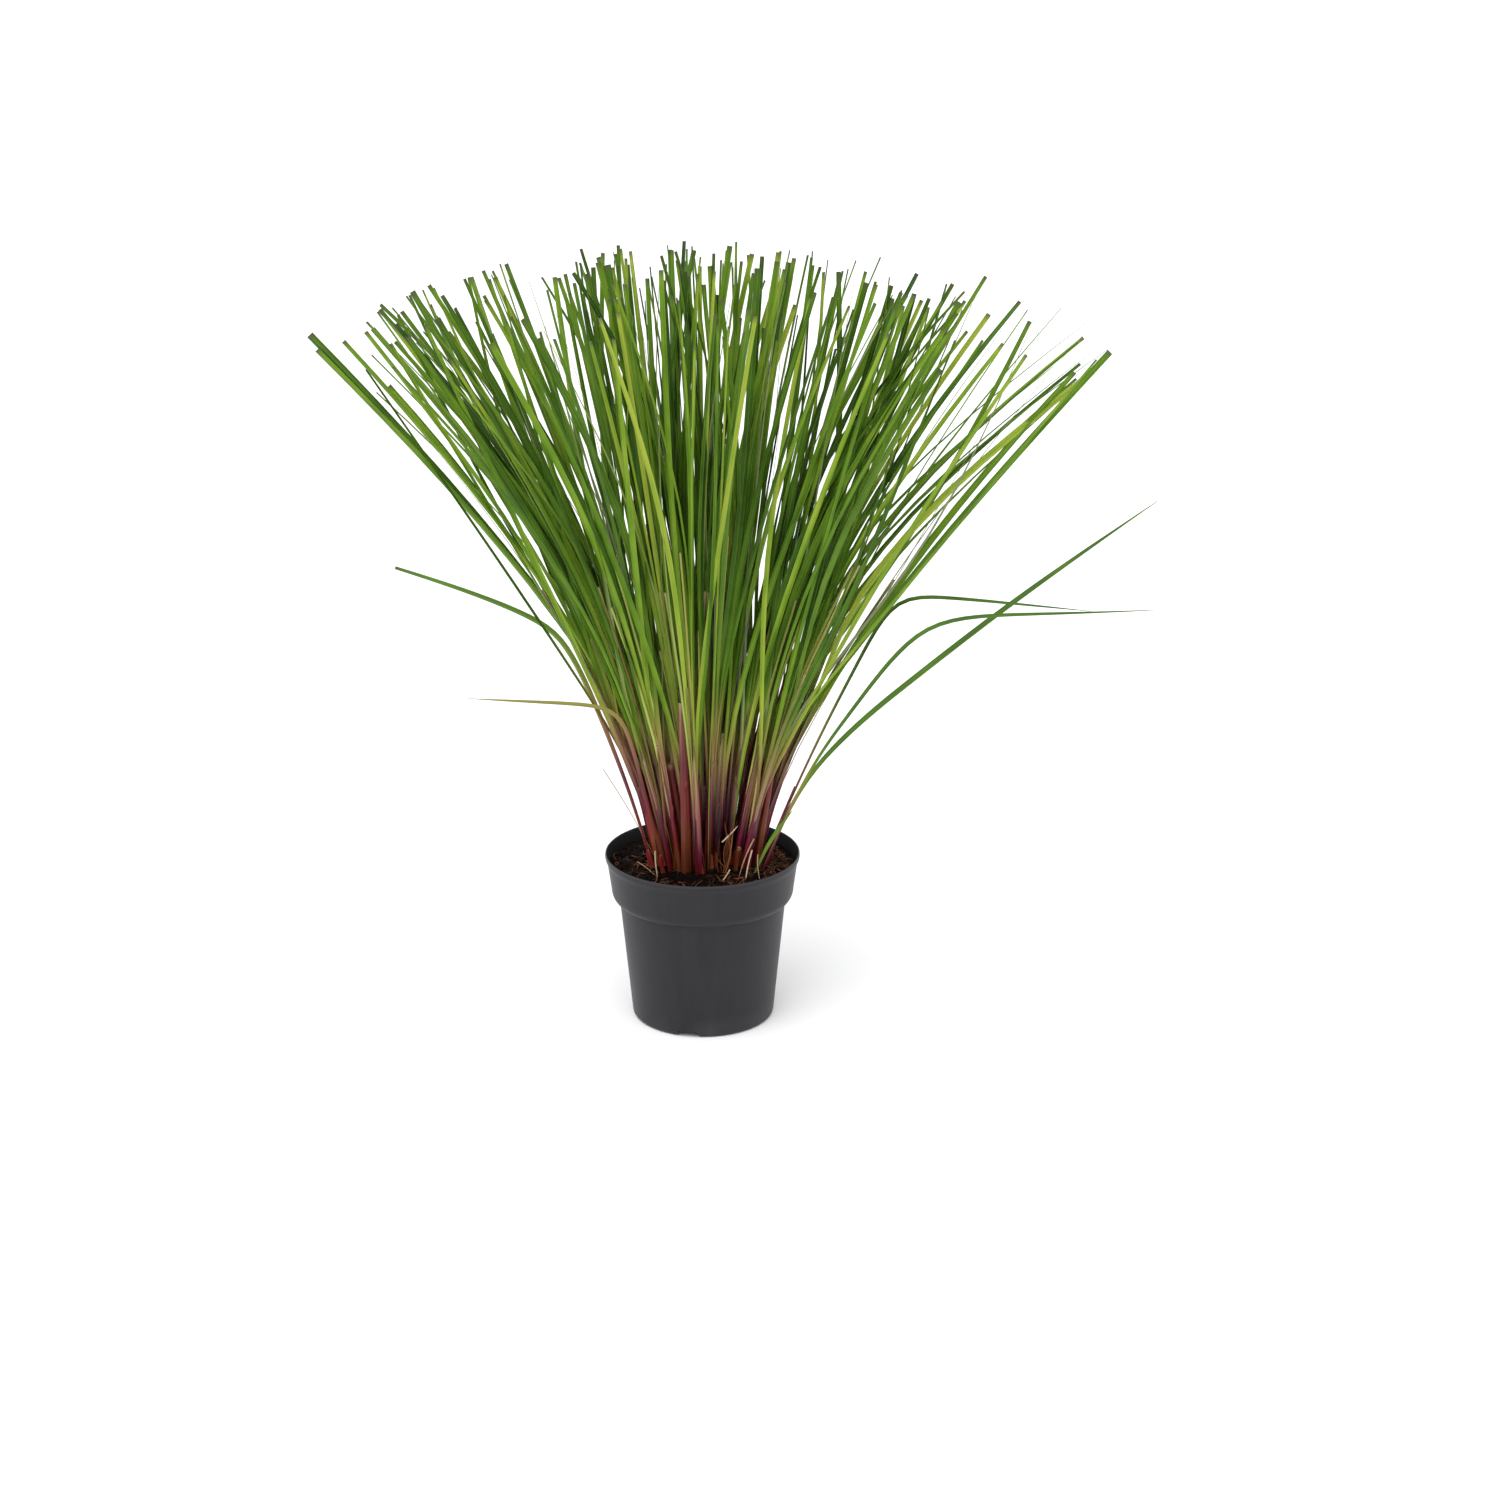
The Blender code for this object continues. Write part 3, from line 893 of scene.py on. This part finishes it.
def makeShoot(name, number):
    chance = random.Random(100 + number)
    line = shootLines[name]
    top = line[-1]
    shootTone = chance.uniform(0.26, 0.62)
    shift = chance.gauss(0.0, 0.016)
    pieces = makeSheaths(line, chance, shift)
    pieces += [makeCulm(line, chance) for _ in range(culms["perShoot"])]
    byHand = [leaf for leaf in outlineLeaves if growsFrom(leaf[0], leaf[4]) == name]
    for tip, width, blunt, bend, _ in byHand:
        look = (chance.uniform(0.30, 0.60), chance.uniform(0.0, 0.4), 0.0, shift)
        pieces.append(makeLeaf(line, Vector(tip), chance, width, look, blunt=blunt, bend=bend))
    for tip, width, bend, out in youngLeaves:
        if growsFrom(tip, out) == name:
            look = (chance.uniform(*youngLook["tone"]), 0.0, 0.0, youngLook["shift"])
            pieces.append(makeLeaf(line, Vector(tip), chance, width, look, blunt=0.6, bend=bend))
    count = chance.randint(*clump["leaves"]) - len(byHand) // 2
    spread = chance.uniform(0.6, 1.4)
    for _ in range(count):
        reach = chance.uniform(*clump["reach"])
        x = top.x * reach + chance.gauss(0, 1) * clump["spreadAcross"] * spread
        y = top.y * reach + chance.gauss(0, 1) * clump["spreadDeep"] * spread
        x = min(max(x, clump["sides"][0]), clump["sides"][1])
        y = min(max(y, -clump["depth"]), clump["depth"])
        drop = min(chance.expovariate(1 / clump["drop"]), clump["shortest"])
        tip = Vector((x, y, trimmedTop(x, y) - drop))
        # thinner ones out on the right
        wisp = chance.random() < clump["wispShare"] * (3.0 if x > clump["thinRight"] else 1.0)
        tone = min(max(chance.gauss(shootTone, 0.20), 0.0), 1.0)
        blue = min(max(0.0, chance.gauss(-0.05, 0.35)), 1.0) if tone < 0.55 else 0.0
        pale = chance.uniform(0.2, 0.7) if wisp else 0.0
        leafShift = shift
        if chance.random() < clump["yellowShare"]:
            tone, blue, leafShift = chance.uniform(0.50, 0.72), 0.0, 0.10
        width = chance.triangular(0.50, 1.30, 0.85)
        pieces.append(makeLeaf(line, tip, chance, width, (tone, blue, pale, leafShift), wisp))
    shoot = joined(pieces, name.replace("tiller_", "shoot_"))
    smoothBy(shoot, 40)
    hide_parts(name)
    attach(shoot, "root")


print("growing the shoots")
for number, name in enumerate(shootNames):
    makeShoot(name, number)


# shoots that were cut short, and how thick each is
cutStems = {
    "cut_stem_1": 0.0046,
    "cut_stem_2": 0.0038,
    "cut_stem_3": 0.0030,
    "cut_stem_4": 0.0030,
    "cut_stem_5": 0.0026,
    "cut_stem_6": 0.0032,
}


def makeCutStem(name, number):
    chance = random.Random(300 + number)
    line = middleLine(name)
    radii = tapered(cutStems[name], 1.05, 0.12)
    turn = chance.uniform(0, math.tau)
    stem = bentCopy(stemBlank, partWay(line, 1.0, soilTop - 0.003), radii, [turn] * 7)
    wrapRadii = [value * 1.16 for value in radii]
    wrap = bentCopy(sheathBlank, partWay(line, 0.55, soilTop - 0.003), wrapRadii, [turn + 0.6] * 7)
    for piece in (stem, wrap):
        writeLook(piece, chance.uniform(0.05, 0.35), 0.0, 0.30, -0.05)
    stem = joined([stem, wrap], name.replace("cut_stem_", "cutShoot_"))
    smoothBy(stem, 45)
    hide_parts(name)
    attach(stem, "root")


print("cutting the short stems")
for number, name in enumerate(stemNames):
    makeCutStem(name, number)


# blades that stray out of the clump, on the same routes as their solids
strayBlades = {
    "blade_left_mid": {
        "width": 0.95, "tone": 0.4, "turn": 1.2, "pointed": False, "shift": -0.045,
        "route": (
            (-0.042, -0.025, 0.14), (-0.055, -0.022, 0.192), (-0.08, -0.018, 0.264), (-0.112, -0.015, 0.345),
            (-0.14, -0.0155, 0.368), (-0.2, -0.018, 0.393), (-0.256, -0.02, 0.412),
        ),
    },
    "blade_left_low": {
        "width": 0.62, "tone": 0.45, "turn": 0.8, "pointed": True, "shift": -0.04,
        "route": (
            (-0.033, -0.033, 0.14), (-0.042, -0.038, 0.19), (-0.055, -0.042, 0.246), (-0.066, -0.044, 0.294),
            (-0.1, -0.043, 0.3), (-0.148, -0.04, 0.3005), (-0.197, -0.036, 0.302),
        ),
    },
    "blade_right_high": {
        "width": 0.85, "tone": 0.34, "turn": 1.6, "pointed": True, "shift": 0.06,
        "route": (
            (0.054, -0.018, 0.14), (0.074, -0.027, 0.206), (0.112, -0.036, 0.263), (0.18, -0.04, 0.322),
            (0.257, -0.04, 0.386), (0.321, -0.035, 0.432), (0.379, -0.03, 0.472),
        ),
    },
    "blade_right_droop": {
        "width": 0.62, "tone": 0.3, "turn": 1.4, "pointed": True, "shift": 0.04,
        "route": (
            (0.051, -0.028, 0.14), (0.084, -0.044, 0.232), (0.124, -0.063, 0.296), (0.17, -0.073, 0.367),
            (0.213, -0.074, 0.389), (0.29, -0.07, 0.386), (0.379, -0.06, 0.387),
        ),
    },
    "blade_right_mid": {
        "width": 0.58, "tone": 0.3, "turn": 1.0, "pointed": True, "shift": 0.0,
        "route": (
            (0.054, 0.003, 0.14), (0.09, 0.004, 0.232), (0.134, 0.006, 0.32), (0.162, 0.006, 0.38),
            (0.204, 0.005, 0.38), (0.266, 0.0, 0.375), (0.33, -0.006, 0.37),
        ),
    },
    "blade_right_short": {
        "width": 0.55, "tone": 0.5, "turn": 1.5, "pointed": True, "shift": 0.14,
        "route": (
            (0.044, -0.035, 0.14), (0.049, -0.037, 0.152), (0.054, -0.039, 0.165), (0.06, -0.0405, 0.177),
            (0.066, -0.042, 0.187), (0.072, -0.043, 0.196), (0.0775, -0.044, 0.204),
        ),
    },
}


def makeStrayBlade(name, number):
    blade = strayBlades[name]
    chance = random.Random(400 + number)
    route = [Vector(place) for place in blade["route"]]
    end = 0.10 if blade["pointed"] else 0.50
    radii = [0.50, 0.62, 0.85, 1.0, 0.95, 0.70, end]
    turns = [blade["turn"] + 0.5 * share for share in (0, 0.1, 0.3, 0.5, 0.7, 0.9, 1.0)]
    pieces = [bentCopy(longBlade, route, [radius * blade["width"] for radius in radii], turns)]
    writeLook(pieces[0], blade["tone"], 0.55, 0.0, blade["shift"])
    # two sheaths hold the foot of a long one
    if name != "blade_right_short":
        for share, radius in ((0.75, 0.0022), (0.4, 0.0028)):
            places = [route[0].lerp(route[1], share * step / 6) for step in range(7)]
            turn = chance.uniform(0, math.tau)
            wrap = bentCopy(sheathBlank, places, tapered(radius, 1.0, 0.3), [turn] * 7)
            writeLook(wrap, chance.random(), 0.0, 0.0, max(blade["shift"], 0.0) / 2)
            pieces.append(wrap)
    piece = joined(pieces, name.replace("blade_", "strayBlade_"))
    smoothBy(piece, 40)
    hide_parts(name)
    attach(piece, "root")


print("laying out the stray blades")
for number, name in enumerate(sorted(strayBlades)):
    makeStrayBlade(name, number)


pot = {
    "sides": 128,
    "wall": 0.0013,
    "bodyTop": 0.0727,
    "bodyBottom": 0.0624,
    "foot": 0.0040,
    "bandFoot": 0.1180,
    "stepHeight": 0.0100,
    "bandBottom": 0.0797,
    "bandTop": 0.0828,
    "lipHeight": 0.0080,
    "drainWidth": 0.021,
    "drainTopWidth": 0.017,
    "drainHeight": 0.0050,
    "drainAngles": (-101.5, 18.5, 138.5),
}


def potProfile(inset):
    # (radius, height) up the side of the pot, this far in from the outer face
    rimRadius = potHigh.x
    rounding = pot["foot"]
    profile = []
    for step in range(5):
        turn = math.radians(-90 + 22.5 * step)
        profile.append((
            pot["bodyBottom"] - rounding + (rounding - inset) * math.cos(turn),
            rounding + (rounding - inset) * math.sin(turn),
        ))
    reach = pot["bandBottom"] - pot["bodyTop"]
    for step in range(8):
        turn = math.radians(90 * step / 7)
        profile.append((
            pot["bodyTop"] - inset + reach * math.sin(turn),
            pot["bandFoot"] - pot["stepHeight"] + inset + pot["stepHeight"] * (1 - math.cos(turn)),
        ))
    lipFoot = potHigh.z - pot["lipHeight"]
    flare = rimRadius - pot["bandTop"]
    for share, rise in ((0.0, -0.0015), (0.30, 0.0010), (0.70, 0.0028), (0.92, 0.0042), (1.0, 0.0058)):
        profile.append((pot["bandTop"] + flare * share - inset, lipFoot + rise))
    return profile


def makePot():
    outer = potProfile(0.0)
    # the inside runs straight up past the lip
    inner = [spot for spot in potProfile(pot["wall"])[:-4] if spot[1] > 0.0025]
    rounded = ((0.0003, 0.0002), (0.0007, 0.0), (0.0012, 0.0))
    top = [(potHigh.x - inwards, potHigh.z - down) for inwards, down in rounded]
    outline = outer[1:] + top + list(reversed(inner))
    freshStart()
    start = outer[0]
    bpy.ops.mesh.primitive_circle_add(
        vertices=pot["sides"], radius=start[0], fill_type="NGON", location=(0, 0, start[1]),
    )
    piece = bpy.context.object
    settle(piece)
    editPiece(piece)
    bpy.context.tool_settings.mesh_select_mode = (False, False, True)
    pickAll()
    radius, height = start
    # the disc is extruded up the outside, over the lip and down the inside, one ring at a time
    for nextRadius, nextHeight in outline + [(inner[0][0] - 0.001, 0.0020)]:
        bpy.ops.mesh.extrude_region_move(TRANSFORM_OT_translate={"value": (0, 0, nextHeight - height)})
        scale = nextRadius / radius
        bpy.ops.transform.resize(value=(scale, scale, 1), center_override=(0, 0, nextHeight))
        radius, height = nextRadius, nextHeight
    leaveEdit()
    return piece


def addDrains(piece):
    for angle in pot["drainAngles"]:
        freshStart()
        bpy.ops.mesh.primitive_cube_add(size=1.0, location=(0, 0, 0))
        wedge = bpy.context.object
        editPiece(wedge)
        pickAll()
        size = (0.05, pot["drainTopWidth"], pot["drainHeight"] * 2)
        bpy.ops.transform.resize(value=size, center_override=(0, 0, 0))
        pickPoints(lambda co: co.z < 0)
        widen = (2 * pot["drainWidth"] - pot["drainTopWidth"]) / pot["drainTopWidth"]
        bpy.ops.transform.resize(value=(1, widen, 1), center_override=(0, 0, 0))
        pickAll()
        bpy.ops.transform.translate(value=(0.061, 0, 0))
        leaveEdit()
        wedge.rotation_euler.z = math.radians(angle)
        settle(wedge)
        wedge.hide_render = True
        cut = piece.modifiers.new("drain", "BOOLEAN")
        cut.object = wedge
        cut.operation = "DIFFERENCE"
        applyAll(piece)
        bpy.data.objects.remove(wedge)


print("turning the pot")
potPiece = joined([makePot()], "nurseryPot")
addDrains(potPiece)
smoothBy(potPiece, 32)
paint(potPiece, nurseryPlastic)
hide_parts("pot")
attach(potPiece, "root")


soil = {
    "radius": 0.0808,
    "depth": 0.010,
    "rings": 34,
    "sides": 150,
    "edgeDrop": 0.0045,
    "lumps": ((0.016, 0.0060), (0.0045, 0.0030)),   # size of the lumps, how high they stand
    "crumbs": 620,
    "crumbSize": (0.0006, 0.0019),
    "fibres": 300,
}


def makeSoil():
    freshStart()
    top = soilTop + 0.001
    bpy.ops.mesh.primitive_cylinder_add(
        vertices=soil["sides"], radius=soil["radius"], depth=soil["depth"], end_fill_type="NGON",
        location=(0, 0, top - soil["depth"] / 2),
    )
    piece = bpy.context.object
    settle(piece)
    editPiece(piece)
    pickFaces(lambda normal: normal.z > 0.9)
    for _ in range(soil["rings"]):
        bpy.ops.mesh.inset(thickness=soil["radius"] / (soil["rings"] + 1))
    bpy.ops.mesh.poke()
    # drawn in below, clear of the wall, and domed a little on top
    bpy.context.tool_settings.mesh_select_mode = (True, False, False)
    pickPoints(lambda co: co.z < top - soil["depth"] / 2)
    bpy.ops.transform.resize(value=(0.96, 0.96, 1), center_override=(0, 0, 0))
    for number in range(1, 6):
        edge = soil["radius"] * (1 - 0.045 * number)
        pickPoints(lambda co: co.z > top - 0.007 and co.to_2d().length > edge)
        bpy.ops.transform.translate(value=(0, 0, -soil["edgeDrop"] / 5))
    leaveEdit()
    surface = piece.vertex_groups.new(name="surface")
    upper = [point.index for point in piece.data.vertices if point.co.z > top - 0.007]
    surface.add(upper, 1.0, "REPLACE")
    for number, (size, height) in enumerate(soil["lumps"]):
        texture = bpy.data.textures.new("soilLumps%d" % number, "CLOUDS")
        texture.noise_scale = size
        texture.noise_depth = 2
        lumps = piece.modifiers.new("lumps", "DISPLACE")
        lumps.texture = texture
        lumps.texture_coords = "LOCAL"
        lumps.direction = "Z"
        lumps.strength = height
        lumps.mid_level = 0.55
        lumps.vertex_group = "surface"
    applyAll(piece)
    paint(piece, peatSoil)
    return piece


def surfaceAt(piece, x, y):
    # the height of the soil under this place
    hit, place, *_ = piece.ray_cast(Vector((x, y, soilTop + 0.05)), Vector((0, 0, -1)))
    return place.z if hit else soilTop


def makeCrumbs(ground):
    chance = random.Random(21)
    freshStart()
    bpy.ops.mesh.primitive_ico_sphere_add(subdivisions=1, radius=1.1, location=(0, 0, 0))
    blank = bpy.context.object
    editPiece(blank)
    pickAll()
    bpy.ops.transform.vertex_random(offset=0.22, uniform=0.4, seed=3)
    leaveEdit()
    paint(blank, peatSoil)
    crumbs = []
    for _ in range(soil["crumbs"]):
        crumb = copyOf(blank)
        away = soil["radius"] * 0.965 * math.sqrt(chance.random())
        turn = chance.uniform(0, math.tau)
        x, y = away * math.cos(turn), away * math.sin(turn)
        size = chance.uniform(*soil["crumbSize"]) * (1.7 if chance.random() < 0.10 else 1.0)
        crumb.scale = [size * chance.uniform(*ends) for ends in ((0.8, 1.5), (0.7, 1.2), (0.5, 0.9))]
        crumb.rotation_euler = (chance.uniform(-0.5, 0.5), chance.uniform(-0.5, 0.5), turn * 3)
        crumb.location = (x, y, surfaceAt(ground, x, y) + size * 0.25)
        crumbs.append(crumb)
    bpy.data.objects.remove(blank)
    piece = joined(crumbs, "soilCrumbs")
    settle(piece)
    smoothBy(piece, 35)
    return piece


strands = {
    "sides": 5,
    "stations": 9,
    "coirLength": (0.006, 0.024),
    "coirRadius": (0.00016, 0.00040),
    "lift": 0.0022,
    "edge": 0.0792,         # no fibre lies further out than this
}


def makeStrandBlank():
    blank = addTube(strands["sides"], "NGON")
    cutAcross(strands["stations"], 0)
    pickAll()
    bpy.ops.mesh.normals_make_consistent(inside=False)
    leaveEdit()
    blank.name = "strandBlank"
    writeMap(blank, lambda place, face: 0.5)
    return blank


def makeStrand(route, radius, widths):
    return bentCopy(strandBlank, route, [radius * width for width in widths], [0.0] * 7)


def finishStrands(made, name, material):
    piece = joined(made, name)
    paint(piece, material)
    smoothBy(piece, 60)
    return piece


def makeCoir(ground):
    # brown fibres lying on the soil, thickest on the right and along the front
    chance = random.Random(33)
    made = []
    for number in range(soil["fibres"]):
        if number % 2:
            turn = chance.gauss(-0.15, 0.45)
            away = chance.uniform(0.050, 0.077)
        elif number % 4:
            turn = chance.gauss(-1.75, 0.7)
            away = chance.uniform(0.052, 0.078)
        else:
            turn = chance.uniform(0, math.tau)
            away = 0.078 * math.sqrt(chance.random())
        place = Vector((away * math.cos(turn), away * math.sin(turn), 0))
        length = chance.uniform(*strands["coirLength"])
        heading = chance.uniform(0, math.tau)
        curl = chance.gauss(0, 0.55)
        lift = chance.uniform(0.0, strands["lift"])
        route = []
        for step in range(7):
            spot = place.copy()
            if spot.length > strands["edge"]:
                spot *= strands["edge"] / spot.length
            spot.z = surfaceAt(ground, spot.x, spot.y) + 0.0004 + lift * math.sin(math.pi * step / 6)
            route.append(spot)
            place += Vector((math.cos(heading), math.sin(heading), 0)) * length / 6
            heading += curl + chance.gauss(0, 0.25)
        radius = chance.uniform(*strands["coirRadius"])
        made.append(makeStrand(route, radius, (0.5, 0.9, 1, 1, 1, 0.9, 0.4)))
        writeValue(made[-1], "leafTone", chance.random() ** 1.6)
    return finishStrands(made, "coirFibres", coirFibre)


# pale roots and scraps at the foot of the clump: where each starts, where it ends, thickness
roots = (
    ((-0.0402, -0.036, 0.164), (-0.0375, -0.045, 0.141), 0.0007),
    ((0.0449, -0.033, 0.174), (0.0321, -0.046, 0.144), 0.0006),
    ((0.0432, -0.034, 0.164), (0.0372, -0.053, 0.14), 0.00065),
    ((0.0484, -0.034, 0.16), (0.0501, -0.046, 0.14), 0.0005),
    ((0.0243, -0.044, 0.15), (0.0133, -0.057, 0.139), 0.0006),
    ((0.0004, -0.05, 0.144), (0.003, -0.057, 0.14), 0.00045),
    ((-0.056, -0.03, 0.152), (-0.038, -0.042, 0.141), 0.0004),
    ((0.0175, -0.03, 0.17), (0.0312, -0.03, 0.185), 0.00065),
    ((-0.064, -0.044, 0.142), (-0.056, -0.048, 0.143), 0.0004),
    ((-0.0845, -0.02, 0.233), (-0.042, -0.024, 0.156), 0.0004),
)

# brown torn ends that stand up between the middle and the right of the clump
tornEnds = {
    "middle": (0.0200, -0.0280, 0.0),
    "spread": 0.0055,
    "count": 9,
    "foot": 0.1410,
    "height": (0.158, 0.192),
    "radius": 0.00045,
}


def makeRoots():
    chance = random.Random(45)
    made = []
    for start, end, radius in roots:
        start, end = Vector(start), Vector(end)
        side = Vector((chance.uniform(-1, 1), chance.uniform(-1, 1), chance.uniform(0, 1))) * 0.0016
        route = [start.lerp(end, step / 6) + side * math.sin(math.pi * step / 6) for step in range(7)]
        made.append(makeStrand(route, radius, (1, 1, 0.95, 0.9, 0.8, 0.6, 0.25)))
        writeValue(made[-1], "leafTone", chance.random())
    return finishStrands(made, "paleRoots", paleRoot)


def makeTornEnds():
    chance = random.Random(52)
    made = []
    for _ in range(tornEnds["count"]):
        away = Vector((chance.gauss(0, 1), chance.gauss(0, 0.6), 0)) * tornEnds["spread"]
        foot = Vector(tornEnds["middle"]) + away
        foot.z = tornEnds["foot"]
        end = foot + Vector((chance.gauss(0.002, 0.005), chance.gauss(0, 0.003), 0))
        end.z = chance.uniform(*tornEnds["height"])
        side = Vector((chance.gauss(0, 0.0022), chance.gauss(0, 0.0015), 0))
        route = [foot.lerp(end, step / 6) + side * math.sin(math.pi * step / 4) for step in range(7)]
        radius = tornEnds["radius"] * chance.uniform(0.7, 1.8)
        made.append(makeStrand(route, radius, (1.2, 1.1, 1, 1, 0.8, 0.6, 0.3)))
        writeValue(made[-1], "leafTone", chance.uniform(0.35, 1.0))
    return finishStrands(made, "tornEnds", coirFibre)


print("filling the soil")
strandBlank = makeStrandBlank()
soilPiece = joined([makeSoil()], "soilSurface")
smoothBy(soilPiece, 40)
crumbPiece = makeCrumbs(soilPiece)
coirPiece = makeCoir(soilPiece)
rootPiece = makeRoots()
tornPiece = makeTornEnds()
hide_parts("soil")
for piece in (soilPiece, crumbPiece, coirPiece, rootPiece, tornPiece):
    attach(piece, "root")


studio = {
    "floorRadius": 30.0,
    "cameraPlace": (0.0415, -2.45, 1.09),
    "lookDown": 19.06,
    "lens": 72.1,
    "floorShade": (0.93, 0.93, 0.94),
    "worldStrength": 0.95,
    "keyPlace": (-1.4, -1.9, 2.6),
    "keyStrength": 1.9,
    "keySoftness": 60,
    "keyAim": (0.45, 0.95, -1.70),
}


def makeStage():
    freshStart()
    bpy.ops.mesh.primitive_circle_add(vertices=64, radius=studio["floorRadius"], fill_type="NGON")
    floor = bpy.context.object
    floor.name = "studioFloor"
    material, tree, shader = startMaterial("paleFloor")
    shader.inputs["Base Color"].default_value = (*studio["floorShade"], 1.0)
    shader.inputs["Roughness"].default_value = 0.9
    shader.inputs["Specular IOR Level"].default_value = 0.1
    floor.data.materials.append(material)

    world = bpy.data.worlds.new("studioWorld")
    bpy.context.scene.world = world
    world.use_nodes = True
    background = world.node_tree.nodes["Background"]
    background.inputs["Color"].default_value = (1.0, 1.0, 1.0, 1.0)
    background.inputs["Strength"].default_value = studio["worldStrength"]

    bpy.ops.object.light_add(type="SUN", location=studio["keyPlace"])
    key = bpy.context.object
    key.name = "softKey"
    key.data.energy = studio["keyStrength"]
    key.data.angle = math.radians(studio["keySoftness"])
    key.rotation_euler = Vector(studio["keyAim"]).to_track_quat("-Z", "Y").to_euler()

    bpy.ops.object.camera_add(location=studio["cameraPlace"])
    camera = bpy.context.object
    camera.name = "studioCamera"
    camera.rotation_euler = (math.radians(90 - studio["lookDown"]), 0, 0)
    camera.data.lens = studio["lens"]
    camera.data.sensor_width = 36.0
    bpy.context.scene.camera = camera
    bpy.context.scene.view_settings.view_transform = "Standard"


print("setting the floor, light and camera")
makeStage()

for blank in (bladeBlank, longBlade, sheathBlank, stemBlank, strandBlank, guide):
    bpy.data.objects.remove(blank)
